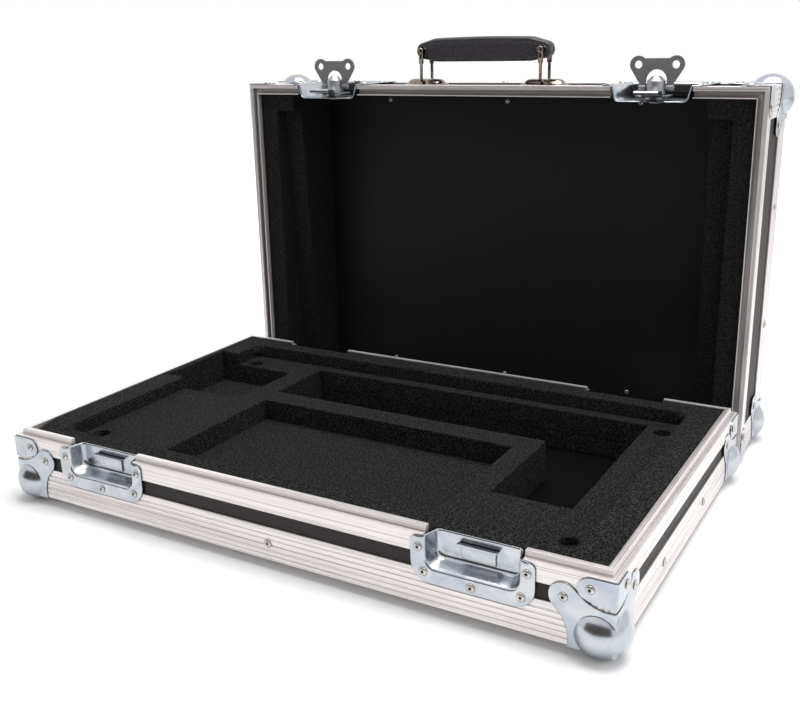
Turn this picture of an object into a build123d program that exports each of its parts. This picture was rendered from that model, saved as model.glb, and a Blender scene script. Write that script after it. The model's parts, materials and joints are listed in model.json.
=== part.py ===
"""Flight case for a lighting console: a shallow foam-lined base and a lift-off lid standing behind it.

Both halves are trays of laminated panels in aluminium extrusions. A tray is drawn with its closed face
on z = 0 and its open rim up, then placed: the base lies flat, the lid stands on its rear wall with its
rim to the front. Row frame: X along the front, Y towards the back, Z up, origin on the floor under the
middle of the whole set.
"""
import os
from math import cos, radians, sin

from build123d import *

os.makedirs("parts", exist_ok=True)

# Outer sizes of the two halves and how they stand
CASE_WIDTH = 600.0
CASE_DEPTH = 368.0
BASE_HEIGHT = 59.5  # underside to the parting plane
LID_HEIGHT = 93.5  # parting plane to the outside of the lid's top
LID_STAND_OFF = 29.0  # from the base's back face to the standing lid's rim
BALL_PROUD = 9.0  # how far a corner ball stands out of each face

# Panels and extrusions
PANEL = 6.8
SHEET = 1.5  # wall of the extrusions
ANGLE_LEG = 30.4
GROOVE_COUNT = 5
GROOVE_START = 4.0
GROOVE_PITCH = 4.8
GROOVE_WIDTH = 1.6
GROOVE_DEPTH = 0.4
RIM_LEG = 15.3
SHOULDER = 4.5  # flat step outside the tongue
TONGUE_HEIGHT = 5.0
TONGUE_DRAFT = 0.8
RIM_CLEARANCE = 0.3  # between the tongue and the lid's channel
CHANNEL_EXTRA = 0.5  # depth of the channel beyond the tongue
CHANNEL_LIP = 1.0
LIP_SETBACK = 0.5

# Ball corners and the braces under the rim
BALL_RADIUS = 22.0
CORNER_SHEET = 1.2
CORNER_REACH = 36.0  # along each edge
PETAL_OFFSET = 38.5  # rivet centre from both edges
PETAL_RADIUS = 11.5
BRACE_REACH = 28.6
BRACE_DROP = 1.5  # top of the brace below the parting plane
BRACE_TIP = 22.0  # lower tip on the vertical edge, below the parting plane
BRACE_RIVET_ALONG = 19.0
BRACE_RIVET_DROP = 10.3

# Dished plates of the latches and keepers
DISH_FROM_END = 111.0  # middle of a dish from the end of the case
DISH_SHEET = 1.2
DISH_HALF_WIDTH = 51.2
DISH_CORNER = 17.0
DISH_TOP_CORNER = 5.0
DISH_DROP = 1.2  # top of the flange below the parting plane
KEEPER_MARGIN = 12.5  # flange beyond the pan
LATCH_MARGIN = 17.0
PAN_HALF_WIDTH = 39.2
PAN_CORNER = 9.0
PAN_DEPTH = 14.0
PAN_TAPER = 15.0  # degrees
PAN_CHAMFER = 3.0
PAN_CLEARANCE = 0.3
KEEPER_PAN = 27.2  # pan length below the parting plane
KEEPER_PLATE_WIDTH = 28.0
KEEPER_LIP_WIDTH = 33.0
KEEPER_LIP_DROP = 6.0
KEEPER_LIP_DEPTH = 8.2  # outer end of the lip, in from the case face
KEEPER_FOOT = 20.0

# Butterfly latches
SPINDLE_BACK = 18.0  # spindle axis from the parting plane
POST_RADIUS = 9.0
POST_FOOT = 8.5
POST_SHOULDER = 4.5
POST_CROWN = 4.5  # radius of its flat top
POST_PROUD = BALL_PROUD  # so the lid stands level on its rear balls and posts
ECCENTRIC_RADIUS = 8.0
ECCENTRIC_THROW = 4.0
ECCENTRIC_GAP = 0.7  # above the pan floor
AXLE_RADIUS = 3.5
AXLE_CLEARANCE = 0.05
AXLE_HEAD_RADIUS = 6.0
AXLE_HEAD = 1.5
AXLE_PLAY = 0.2
WING_SHEET = 2.0
WING_PIN_DEPTH = 2.0  # hinge pin, in from the case face
WING_PIN_RADIUS = 1.5
WING_PIN_CLEARANCE = 0.05
BARREL_RADIUS = 2.7
BARREL_INNER = 10.4
BARREL_OUTER = 17.4
LOBE_ALONG = 18.6
LOBE_OUT = 22.0
LOBE_RADIUS = 8.5
LOBE_HOLE = 3.85
WING_TOP = 28.0
ARCH_OUT = 7.0
WING_SWEEP_GAP = 1.2  # between the turning wing and the end of the pan
HOOK_SHEET = 1.5
HOOK_WIDTH = 24.0
HOOK_FRAME = 3.0  # metal beside the window
WINDOW_CLEARANCE = 1.2
HOOK_TAIL_DEPTH = 9.75  # middle of the plate round the eccentric, released
HOOK_NOSE_DEPTH = 4.45  # middle of the plate at the rim, released
HOOK_RAMP_START = -1.5
HOOK_RAMP_END = 5.0
HOOK_REACH = 17.5  # past the parting plane, released
HOOK_LIP = 2.4
HOOK_BEND = 1.6

# Handle
HANDLE_OFFSET = -8.0  # sideways from the middle of the lid
HANDLE_DEPTH = 39.2  # from the parting plane
HUB_SPACING = 142.0
CUP_LENGTH = 46.0
CUP_WIDTH = 26.0
CUP_FLANGE = 4.0
CUP_HEIGHT = 7.0
CUP_SHEET = 1.2
CUP_TAPER = 12.0  # degrees
CUP_BEVEL = 2.0
CUP_PIVOT = 5.0  # above the panel
BAIL_RADIUS = 1.5
BAIL_HALF_WIDTH = 12.5
BAIL_SIDES = 8
BAIL_BEND = 3.0
BAIL_TOE = 6.5  # inner end of the bent-in toe
BAIL_CLEARANCE = 0.06
GRIP_RISE = 35.5  # hub axis above the case face
HUB_RADIUS = 8.0
HUB_THICKNESS = 17.0
GRIP_THICKNESS = 21.2
GRIP_TOP = 50.0
GRIP_SHOULDER = 48.4
GRIP_BOTTOM = 23.8
GRIP_FLAT_HALF = 57.0
GRIP_ROUND = 3.0
EYELET_RADIUS = 3.0
EYELET_CLEARANCE = 0.08
EYELET_FLANGE_RADIUS = 5.0
EYELET_FLANGE = 1.0
EYELET_SIDES = 12

# Foam
FOAM_GAP = 0.3  # to the rim's inner leg
FOAM_PAD = 19.7
FOAM_INSERT = 22.0
FOAM_SETDOWN = 0.5  # surround below the parting plane
# Distances of the console's bed and the pockets from the outer faces of the case
BED_ENDS = 39.0
BED_FRONT = 30.0
BED_BACK = 36.0
BED_CORNER = 10.0
BACK_POCKET_LEFT = 139.0
BACK_POCKET_RIGHT = 74.0
BACK_POCKET_BACK = 50.0
BACK_POCKET_SIZE = 82.0  # front to back
ARM_POCKET_SIZE = 73.0  # left to right
ARM_POCKET_FRONT = 111.0
MAIN_POCKET_LEFT = 143.0
MAIN_POCKET_RIGHT = 170.0
MAIN_POCKET_FRONT = 54.0
POCKET_WALL = 28.0  # foam left between the main and back pockets
SMALL_POCKET_SIZE = 113.0  # in from the case's left face
SMALL_POCKET_BACK = 75.0
SMALL_POCKET_LENGTH = 95.0
SCREW_HOLE_RADIUS = 6.3
SCREW_HOLE_ENDS = 56.0
SCREW_HOLE_FRONT = 57.0
SCREW_HOLE_BACK = 63.0
LID_FOAM_WIDTH = 58.0  # in from the lid's outer face
LID_FOAM_SETBACK = 8.0  # front face behind the rim
REBATE_END = 33.0  # rebate's side from the lid's outer face
REBATE_FRONT = 31.0
REBATE_BACK = 29.0
REBATE_FRONT_DEPTH = 22.0
REBATE_BACK_DEPTH = 41.0

# Rivets
RIVET_RADIUS = 3.7
RIVET_HEIGHT = 1.5
RIVET_SIDES = 8
RIVET_BEVEL = 48.0  # degrees
TAIL_RADIUS = 2.6
TAIL_HEIGHT = 1.2
EDGE_RIVET_INSET = 21.0
TOP_RIVET_END = 146.0
SIDE_RIVET_END = 122.0
DISH_RIVETS = {
    "base": ((44.5, -10.4), (-44.5, -10.4), (40.3, -30.5), (-40.3, -30.5), (0.0, -34.0)),
    "lid": ((44.5, -10.4), (-44.5, -10.4), (44.5, -50.0), (-44.5, -50.0), (0.0, -65.0)),
}

# Worked out from the above
LAP = SHEET + PANEL  # outer face to the panel's inner face
RIM_INNER = LAP + SHEET
CHANNEL_DEPTH = TONGUE_HEIGHT + CHANNEL_EXTRA
BALL_INSET = BALL_RADIUS - BALL_PROUD
SET_DEPTH = CASE_DEPTH + LID_STAND_OFF + LID_HEIGHT
BASE_CENTRE_Y = (CASE_DEPTH - SET_DEPTH) / 2
LID_TOP_Y = SET_DEPTH / 2
LID_CENTRE_Z = BALL_PROUD + CASE_DEPTH / 2
WING_SWEEP = (LOBE_ALONG**2 + LOBE_OUT**2) ** 0.5 + LOBE_RADIUS
LATCH_PAN = SPINDLE_BACK + WING_SWEEP + WING_SWEEP_GAP
BED_FLOOR = LAP + FOAM_PAD + FOAM_INSERT
FOAM_HALF_WIDTH = CASE_WIDTH / 2 - RIM_INNER - FOAM_GAP
FOAM_HALF_DEPTH = CASE_DEPTH / 2 - RIM_INNER - FOAM_GAP
DISH_SPACING = CASE_WIDTH / 2 - DISH_FROM_END
TOP_RIVETS = (TOP_RIVET_END - CASE_WIDTH / 2, 0.0, CASE_WIDTH / 2 - TOP_RIVET_END)
SIDE_RIVETS = (SIDE_RIVET_END - CASE_DEPTH / 2, CASE_DEPTH / 2 - SIDE_RIVET_END)

BASE = "base"
LID = "lid"
HEIGHT = {BASE: BASE_HEIGHT, LID: LID_HEIGHT}
PANEL_TOP = {BASE: SHEET, LID: CHANNEL_DEPTH + SHEET}  # below the parting plane
PAN_LENGTH = {BASE: KEEPER_PAN, LID: LATCH_PAN}
PAN_MARGIN = {BASE: KEEPER_MARGIN, LID: LATCH_MARGIN}
PLACE = {
    BASE: Pos(0, BASE_CENTRE_Y, BALL_PROUD),
    LID: Pos(0, LID_TOP_Y, LID_CENTRE_Z) * Rot(90, 0, 0),
}
# The lid's tray is turned over, so its front wall is the tray's far wall
FRONT_WALL = {BASE: "near", LID: "far"}
BACK_WALL = {BASE: "far", LID: "near"}
WALL_TURN = {"near": 0, "right": 90, "far": 180, "left": 270}

# A wall is drawn with x along it, y in from its outer face and z up from the parting plane
INWARD = Plane(origin=(0, 0, 0), x_dir=(-1, 0, 0), z_dir=(0, 1, 0))
OUTWARD = Plane(origin=(0, 0, 0), x_dir=(1, 0, 0), z_dir=(0, -1, 0))


def save(node, pieces, place):
    """Writes one sub-part, whose pieces stay separate solids."""
    solids = [solid for piece in pieces for solid in (place * piece).solids()]
    shape = solids[0] if len(solids) == 1 else Compound(children=solids)
    export_step(shape, f"parts/{node}.step")


def block(low, high):
    """A box between two opposite corners."""
    size = [b - a for a, b in zip(low, high)]
    middle = [(a + b) / 2 for a, b in zip(low, high)]
    return Pos(*middle) * Box(*size)


def prism(outline, amount, direction):
    """Extrudes a closed outline a given way, whichever way round it was drawn."""
    return extrude(make_face(outline), amount=amount, dir=direction)


def wall_length(wall):
    return CASE_WIDTH if wall in ("near", "far") else CASE_DEPTH


def on_wall(wall, shape, along=0.0, height=0.0):
    """Moves a shape from a wall's own frame into the tray."""
    offset = (CASE_DEPTH if wall in ("near", "far") else CASE_WIDTH) / 2
    return Rot(0, 0, WALL_TURN[wall]) * Pos(along, -offset, height) * shape


def along_for(wall, x):
    """Place along a near or far wall of a point at the row's x."""
    return x if wall == "near" else -x


def dish_places(wall):
    """Left and right dish of a wall, as places along it."""
    return {"left": along_for(wall, -DISH_SPACING), "right": along_for(wall, DISH_SPACING)}


def dish_opening(half):
    """Room that a dish's pan takes out of panels and extrusions, in a wall's frame."""
    reach = PAN_HALF_WIDTH + DISH_SHEET + PAN_CLEARANCE
    bottom = PAN_LENGTH[half] + DISH_SHEET + PAN_CLEARANCE
    top = TONGUE_HEIGHT + PAN_CLEARANCE
    depth = RIM_INNER + CHANNEL_LIP + 2 * PAN_CLEARANCE
    return block((-reach, -DISH_SHEET, -bottom), (reach, depth, top))


def cut_dishes(half, wall, shape):
    for along in dish_places(wall).values():
        shape = shape - on_wall(wall, dish_opening(half), along, HEIGHT[half])
    return shape


# Panels

def flat_panel():
    """Floor of the base or top of the lid."""
    return block(
        (SHEET - CASE_WIDTH / 2, SHEET - CASE_DEPTH / 2, SHEET),
        (CASE_WIDTH / 2 - SHEET, CASE_DEPTH / 2 - SHEET, LAP),
    )


def wall_panel(half, wall):
    """A wall's panel. The near and far ones run the whole width, the side ones fit between them."""
    inset = SHEET if wall in ("near", "far") else LAP
    half_length = wall_length(wall) / 2 - inset
    panel = block((-half_length, SHEET, LAP), (half_length, LAP, HEIGHT[half] - PANEL_TOP[half]))
    panel = on_wall(wall, panel)
    return cut_dishes(half, wall, panel) if wall in ("near", "far") else panel


# Extrusions

def grooved_leg():
    """Outer face of an angle's leg from its corner to its edge: distances along it and groove depths."""
    points = []
    slope = GROOVE_DEPTH
    for index in range(GROOVE_COUNT):
        start = GROOVE_START + index * GROOVE_PITCH
        points += [
            (start, 0.0),
            (start + slope, GROOVE_DEPTH),
            (start + GROOVE_WIDTH - slope, GROOVE_DEPTH),
            (start + GROOVE_WIDTH, 0.0),
        ]
    return points


def angle_section():
    """L section with ribbed outer faces, its corner at the origin."""
    upright = [(depth, along) for along, depth in grooved_leg()]
    flat = [(along, depth) for along, depth in reversed(grooved_leg())]
    inner = [(0, ANGLE_LEG), (SHEET, ANGLE_LEG), (SHEET, SHEET), (ANGLE_LEG, SHEET), (ANGLE_LEG, 0)]
    return Polyline((0, 0), *upright, *inner, *flat, close=True)


def mitred_run(section, wall, reach, end_gap=0.0):
    """A section run along a wall, mitred into the runs of the walls beside it."""
    length = wall_length(wall)
    bar = prism(Plane.YZ * section, length - 2 * end_gap, (1, 0, 0))
    bar = Pos(end_gap - length / 2, 0, 0) * bar
    corner = length / 2
    plan = Polyline((-corner, 0), (corner, 0), (corner - reach, reach), (reach - corner, reach), close=True)
    tall = 2 * LID_HEIGHT
    return bar & Pos(0, 0, -tall / 2) * prism(plan, tall, (0, 0, 1))


def edge_angle(half, wall):
    """Angle along a closed edge, its ends short of the corner inside the ball."""
    end_gap = BALL_INSET / 2
    bar = on_wall(wall, mitred_run(angle_section(), wall, ANGLE_LEG, end_gap))
    return cut_dishes(half, wall, bar) if wall in ("near", "far") else bar


def corner_angle(half, wall):
    """Upright angle at the corner that starts a wall, from the edge angle to the rim's leg."""
    length = HEIGHT[half] - RIM_LEG - ANGLE_LEG
    post = Pos(0, 0, ANGLE_LEG) * prism(angle_section(), length, (0, 0, 1))
    return on_wall(wall, post, -wall_length(wall) / 2)


def rim_section(half):
    """Rim extrusion from its outer leg inwards, with the parting plane at height 0."""
    legs = [(RIM_INNER - SHEET, -RIM_LEG), (RIM_INNER - SHEET, -PANEL_TOP[half])]
    legs += [(SHEET, -PANEL_TOP[half]), (SHEET, -RIM_LEG)]
    if half == BASE:
        tongue = [(SHOULDER, 0), (SHOULDER + TONGUE_DRAFT, TONGUE_HEIGHT), (RIM_INNER, TONGUE_HEIGHT)]
        return Polyline((0, -RIM_LEG), (0, 0), *tongue, (RIM_INNER, -RIM_LEG), *legs, close=True)
    channel_outer = SHOULDER - RIM_CLEARANCE
    channel_inner = RIM_INNER + RIM_CLEARANCE
    lip = channel_inner + CHANNEL_LIP
    channel = [
        (channel_outer, 0),
        (channel_outer, -CHANNEL_DEPTH),
        (channel_inner, -CHANNEL_DEPTH),
        (channel_inner, -LIP_SETBACK),
        (lip, -LIP_SETBACK),
        (lip, -PANEL_TOP[LID]),
        (RIM_INNER, -PANEL_TOP[LID]),
    ]
    return Polyline((0, -RIM_LEG), (0, 0), *channel, (RIM_INNER, -RIM_LEG), *legs, close=True)


def rim(half, wall):
    """Rim along a wall, in three lengths where two dishes interrupt it."""
    reach = RIM_INNER + RIM_CLEARANCE + CHANNEL_LIP
    bar = on_wall(wall, mitred_run(rim_section(half), wall, reach), height=HEIGHT[half])
    return cut_dishes(half, wall, bar) if wall in ("near", "far") else bar


# Ball corners and braces, drawn with the corner at the origin and the case in the octant of positive axes

def at_corners(height=0.0):
    """Places of the tray's four corners, each turned to suit."""
    x = CASE_WIDTH / 2
    y = CASE_DEPTH / 2
    return [Pos(a, b, height) * Rot(0, 0, turn) for a, b, turn in
            ((-x, -y, 0), (x, -y, 90), (x, y, 180), (-x, y, 270))]


def ball_plate():
    """One face plate of a ball corner, on the face y = 0, with its single petal on the diagonal."""
    edge = -CORNER_SHEET
    centre = (PETAL_OFFSET, PETAL_OFFSET)
    petal = [
        (centre[0] + PETAL_RADIUS * cos(radians(turn)), centre[1] + PETAL_RADIUS * sin(radians(turn)))
        for turn in range(-60, 151, 30)
    ]
    bow = (CORNER_REACH + 1.0, CORNER_REACH * 0.5)
    outline = Polyline(
        (edge, edge), (CORNER_REACH, edge), (CORNER_REACH - 1.5, 0), bow, *petal, bow[::-1],
        (0, CORNER_REACH - 1.5), (edge, CORNER_REACH), close=True,
    )
    return prism(Plane.XZ * outline, CORNER_SHEET, (0, -1, 0))


def ball_corner():
    """Pressed corner: three petalled plates and the ball that joins them, outside the case."""
    case = block((0, 0, 0), (3 * BALL_RADIUS, 3 * BALL_RADIUS, 3 * BALL_RADIUS))
    diagonal = Axis((0, 0, 0), (1, 1, 1))
    shape = Pos(BALL_INSET, BALL_INSET, BALL_INSET) * Sphere(BALL_RADIUS) - case
    for turn in (0, 120, 240):
        shape = shape + ball_plate().rotate(diagonal, turn)
    return shape


def brace():
    """Plate folded round an upright corner just under the rim, with a riveted lobe on both faces."""
    top = -BRACE_DROP
    lobe = BRACE_REACH - BRACE_RIVET_ALONG
    low = (BRACE_RIVET_ALONG + lobe * sin(radians(40)), -BRACE_RIVET_DROP - lobe * cos(radians(40)))
    outline = [
        Line((-CORNER_SHEET, top), (BRACE_RIVET_ALONG, top)),
        ThreePointArc(
            (BRACE_RIVET_ALONG, top), (BRACE_REACH - 1.5, top - 4.6), (BRACE_REACH, -BRACE_RIVET_DROP),
        ),
        ThreePointArc(
            (BRACE_REACH, -BRACE_RIVET_DROP),
            (BRACE_RIVET_ALONG + lobe * cos(radians(22)), -BRACE_RIVET_DROP - lobe * sin(radians(22))),
            low,
        ),
        ThreePointArc(low, (low[0] * 0.52, (low[1] * 0.55 - BRACE_TIP * 0.45) - 1.6), (0, -BRACE_TIP)),
        Line((0, -BRACE_TIP), (-CORNER_SHEET, -BRACE_TIP)),
        Line((-CORNER_SHEET, -BRACE_TIP), (-CORNER_SHEET, top)),
    ]
    face = prism(Plane.XZ * Wire(outline), CORNER_SHEET, (0, -1, 0))
    other = face.mirror(Plane(origin=(0, 0, 0), z_dir=(1, -1, 0)))
    return face + other


# Dishes and keepers, drawn in a wall's frame

def pan_block(half_width, length, depth, corner, bevel):
    """Tapered block with the pan's shape, from outside the flange down to its floor."""
    over = PAN_DEPTH + DISH_CORNER
    outline = Pos(0, (over - length) / 2) * Rectangle(2 * half_width, over + length)
    low_corners = outline.vertices().sort_by(Axis.Y)[:2]
    outline = fillet(low_corners, corner)
    start = Pos(0, -DISH_SHEET, 0)
    pan = start * extrude(INWARD * outline, amount=depth + DISH_SHEET, taper=PAN_TAPER)
    floor_edges = pan.faces().sort_by(Axis.Y)[-1].edges()
    return chamfer(floor_edges, bevel)


def dish(half):
    """Pressed plate with a flange and a tapered pan that is open at the parting plane."""
    length = PAN_LENGTH[half]
    flange_end = length + PAN_MARGIN[half]
    flange = Pos(0, -(DISH_DROP + flange_end) / 2) * Rectangle(2 * DISH_HALF_WIDTH, flange_end - DISH_DROP)
    flange = fillet(flange.vertices().sort_by(Axis.Y)[:2], DISH_CORNER)
    flange = fillet(flange.vertices().sort_by(Axis.Y)[-2:], DISH_TOP_CORNER)
    plate = extrude(OUTWARD * flange, amount=DISH_SHEET)
    outer = pan_block(
        PAN_HALF_WIDTH + DISH_SHEET, length + DISH_SHEET, PAN_DEPTH + DISH_SHEET,
        PAN_CORNER + DISH_SHEET, PAN_CHAMFER + DISH_SHEET / 2,
    )
    inner = pan_block(PAN_HALF_WIDTH, length, PAN_DEPTH, PAN_CORNER, PAN_CHAMFER)
    wide = 2 * DISH_HALF_WIDTH
    above = block((-wide, -wide, 0), (wide, wide, wide))
    shape = plate + outer - inner - above
    if half == LID:
        hole = Cylinder(AXLE_RADIUS + AXLE_CLEARANCE, 4 * PAN_DEPTH)
        shape = shape - Pos(0, 0, -SPINDLE_BACK) * Rot(90, 0, 0) * hole
    return shape


def keeper_hook():
    """Bent plate fixed to the keeper's pan floor, with a lip that the hook catches."""
    middle = HOOK_SHEET / 2
    foot = (PAN_DEPTH - middle, -KEEPER_FOOT)
    knee = (PAN_DEPTH - middle, -KEEPER_LIP_DROP - middle)
    end = (KEEPER_LIP_DEPTH, -KEEPER_LIP_DROP - middle)
    path = FilletPolyline(foot, knee, end, radius=HOOK_BEND)
    strip = extrude(Plane.YZ * trace(path, HOOK_SHEET), amount=KEEPER_LIP_WIDTH / 2, both=True)
    low = -KEEPER_FOOT - HOOK_SHEET
    high = -KEEPER_LIP_DROP - HOOK_SHEET
    side = block((KEEPER_PLATE_WIDTH / 2, 0, low), (KEEPER_LIP_WIDTH, 2 * PAN_DEPTH, high))
    return strip - side - side.mirror(Plane.YZ)


# Latches, drawn in a wall's frame with the hook released

def round_bar(radius, low, high):
    """Cylinder along a wall's inward direction, on the spindle's axis."""
    return Pos(0, (low + high) / 2, -SPINDLE_BACK) * Rot(90, 0, 0) * Cylinder(radius, high - low)


def latch_spindle():
    """Domed post with its hinge pin, the eccentric under it and the axle riveted behind the pan."""
    profile = Polyline(
        (0, POST_FOOT), (POST_RADIUS, POST_FOOT), (POST_RADIUS, -POST_SHOULDER), (POST_CROWN, -POST_PROUD),
        (0, -POST_PROUD), close=True,
    )
    post = Pos(0, 0, -SPINDLE_BACK) * revolve(make_face(profile), Axis.Y)
    floor_gap = PAN_DEPTH - ECCENTRIC_GAP
    eccentric = Pos(0, 0, ECCENTRIC_THROW) * round_bar(ECCENTRIC_RADIUS, POST_FOOT, floor_gap)
    back = PAN_DEPTH + DISH_SHEET + AXLE_PLAY
    axle = round_bar(AXLE_RADIUS, floor_gap, back)
    head = extrude(INWARD * RegularPolygon(AXLE_HEAD_RADIUS, RIVET_SIDES), amount=AXLE_HEAD)
    head = Pos(0, back, -SPINDLE_BACK) * head
    pin = Rot(0, 90, 0) * Cylinder(WING_PIN_RADIUS, 2 * BARREL_OUTER)
    return post + eccentric + axle + head + Pos(0, WING_PIN_DEPTH, -SPINDLE_BACK) * pin


def latch_wing():
    """Butterfly plate standing up on its hinge pin: two pierced lobes and an arch round the post."""
    frame = Plane(origin=(0, WING_PIN_DEPTH, -SPINDLE_BACK), x_dir=(1, 0, 0), z_dir=(0, 0, -1))
    waist = BARREL_RADIUS + 1.8
    side = (LOBE_ALONG + LOBE_RADIUS * cos(radians(24)), LOBE_OUT - LOBE_RADIUS * sin(radians(24)))
    right = [(BARREL_OUTER, 0), (BARREL_OUTER, waist), side, (LOBE_ALONG, WING_TOP)]
    left = [(-x, y) for x, y in reversed(right)]
    plate = make_face(Polyline(*right, *left, close=True))
    for sign in (-1, 1):
        plate = plate + Pos(sign * LOBE_ALONG, LOBE_OUT) * Circle(LOBE_RADIUS)
    plate = plate - Pos(0, ARCH_OUT) * Circle(BARREL_INNER)
    plate = plate - Pos(0, ARCH_OUT / 2) * Rectangle(2 * BARREL_INNER, ARCH_OUT)
    for sign in (-1, 1):
        plate = plate - Pos(sign * LOBE_ALONG, LOBE_OUT) * Circle(LOBE_HOLE)
    wing = extrude(frame * plate, amount=WING_SHEET / 2, both=True)
    length = BARREL_OUTER - BARREL_INNER
    pivot = Pos(0, WING_PIN_DEPTH, -SPINDLE_BACK)
    for sign in (-1, 1):
        centre = Pos(sign * (BARREL_INNER + length / 2), 0, 0) * Rot(0, 90, 0)
        wing = wing + pivot * centre * Cylinder(BARREL_RADIUS, length)
    bore = Rot(0, 90, 0) * Cylinder(WING_PIN_RADIUS + WING_PIN_CLEARANCE, 4 * BARREL_OUTER)
    return wing - pivot * bore


def folded(wing):
    """The wing laid flat in the pan, away from the parting plane."""
    return wing.rotate(Axis((0, WING_PIN_DEPTH, -SPINDLE_BACK), (1, 0, 0)), 90)


def latch_hook():
    """Cranked plate: a window round the eccentric, a ramp up to the rim and a turned-in lip."""
    centre = ECCENTRIC_THROW - SPINDLE_BACK
    window_long = ECCENTRIC_RADIUS + WINDOW_CLEARANCE
    window_wide = ECCENTRIC_RADIUS + ECCENTRIC_THROW + WINDOW_CLEARANCE / 2
    tail = centre - window_long - HOOK_FRAME
    middle = HOOK_SHEET / 2
    path = FilletPolyline(
        (HOOK_TAIL_DEPTH, tail),
        (HOOK_TAIL_DEPTH, HOOK_RAMP_START),
        (HOOK_NOSE_DEPTH, HOOK_RAMP_END),
        (HOOK_NOSE_DEPTH, HOOK_REACH - middle),
        (HOOK_NOSE_DEPTH + middle + HOOK_LIP, HOOK_REACH - middle),
        radius=HOOK_BEND,
    )
    half_width = window_wide + HOOK_FRAME
    strip = extrude(Plane.YZ * trace(path, HOOK_SHEET), amount=half_width, both=True)
    low = centre - window_long
    high = centre + window_long
    window = block((-window_wide, 0, low), (window_wide, 2 * PAN_DEPTH, high))
    side = block(
        (HOOK_WIDTH / 2, -PAN_DEPTH, HOOK_RAMP_START),
        (2 * half_width, 2 * PAN_DEPTH, 2 * HOOK_REACH),
    )
    return strip - window - side - side.mirror(Plane.YZ)


# Handle, drawn in a wall's frame with the case face at y = 0

def cup():
    """Hollow domed cup on the panel, with a cross hole for a bail's toes."""
    base = Pos(0, SHEET, 0)
    dome_length = CUP_LENGTH - 2 * CUP_FLANGE
    dome_width = CUP_WIDTH - CUP_FLANGE
    flange = base * extrude(OUTWARD * SlotOverall(CUP_LENGTH, CUP_WIDTH), amount=CUP_SHEET)
    dome = base * extrude(OUTWARD * SlotOverall(dome_length, dome_width), amount=CUP_HEIGHT, taper=CUP_TAPER)
    dome = chamfer(dome.faces().sort_by(Axis.Y)[0].edges(), CUP_BEVEL)
    hollow_slot = SlotOverall(dome_length - 2 * CUP_SHEET, dome_width - 2 * CUP_SHEET)
    hollow = base * extrude(OUTWARD * hollow_slot, amount=CUP_HEIGHT - CUP_SHEET, taper=CUP_TAPER)
    hole = Pos(0, SHEET - CUP_PIVOT, 0) * Cylinder(BAIL_RADIUS + BAIL_CLEARANCE, 2 * CUP_WIDTH)
    return flange + dome - hollow - hole


def bail():
    """Wire loop whose toes turn in the cup and whose crossbar carries the grip."""
    low = SHEET - CUP_PIVOT
    path = FilletPolyline(
        (0, low, -BAIL_TOE),
        (0, low, -BAIL_HALF_WIDTH),
        (0, -GRIP_RISE, -BAIL_HALF_WIDTH),
        (0, -GRIP_RISE, BAIL_HALF_WIDTH),
        (0, low, BAIL_HALF_WIDTH),
        (0, low, BAIL_TOE),
        radius=BAIL_BEND,
    )
    start = Plane(origin=path @ 0, z_dir=path % 0)
    return sweep(start * RegularPolygon(BAIL_RADIUS, BAIL_SIDES), path=path)


def grip():
    """Moulded grip with bevelled ends and a narrower hub at each end."""
    frame = Plane(origin=(0, 0, 0), x_dir=(1, 0, 0), z_dir=(0, 0, -1))
    hub = HUB_SPACING / 2
    neck = hub + HUB_RADIUS * 0.3
    upper = [
        ThreePointArc((-GRIP_FLAT_HALF, GRIP_SHOULDER), (0, GRIP_TOP), (GRIP_FLAT_HALF, GRIP_SHOULDER)),
        Line((GRIP_FLAT_HALF, GRIP_SHOULDER), (neck, GRIP_RISE + HUB_RADIUS * 0.95)),
    ]
    lower = Polyline(
        (neck, GRIP_RISE + HUB_RADIUS * 0.95),
        (neck, GRIP_RISE - HUB_RADIUS * 0.95),
        (GRIP_FLAT_HALF, GRIP_BOTTOM),
        (-GRIP_FLAT_HALF, GRIP_BOTTOM),
        (-neck, GRIP_RISE - HUB_RADIUS * 0.95),
        (-neck, GRIP_RISE + HUB_RADIUS * 0.95),
        (-GRIP_FLAT_HALF, GRIP_SHOULDER),
    )
    face = make_face(Wire([*upper, *lower.edges()]))
    for sign in (-1, 1):
        face = face + Pos(sign * hub, GRIP_RISE) * Circle(HUB_RADIUS)
    body = extrude(frame * face, amount=GRIP_THICKNESS / 2, both=True)
    long_edges = body.edges().filter_by(Axis.X)
    body = fillet(long_edges, GRIP_ROUND)
    reach = hub - HUB_RADIUS - EYELET_FLANGE_RADIUS
    plan = Polyline(
        (-2 * hub, HUB_THICKNESS / 2),
        (-reach, HUB_THICKNESS / 2),
        (GRIP_THICKNESS / 2 - reach, GRIP_THICKNESS / 2),
        (reach - GRIP_THICKNESS / 2, GRIP_THICKNESS / 2),
        (reach, HUB_THICKNESS / 2),
        (2 * hub, HUB_THICKNESS / 2),
        (2 * hub, -HUB_THICKNESS / 2),
        (reach, -HUB_THICKNESS / 2),
        (reach - GRIP_THICKNESS / 2, -GRIP_THICKNESS / 2),
        (GRIP_THICKNESS / 2 - reach, -GRIP_THICKNESS / 2),
        (-reach, -HUB_THICKNESS / 2),
        (-2 * hub, -HUB_THICKNESS / 2),
        close=True,
    )
    body = body & extrude(Plane.XZ * make_face(plan), amount=2 * GRIP_TOP, both=True)
    for sign in (-1, 1):
        body = body - Pos(sign * hub, -GRIP_RISE, 0) * Cylinder(EYELET_RADIUS, 2 * GRIP_THICKNESS)
    return body


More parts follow.
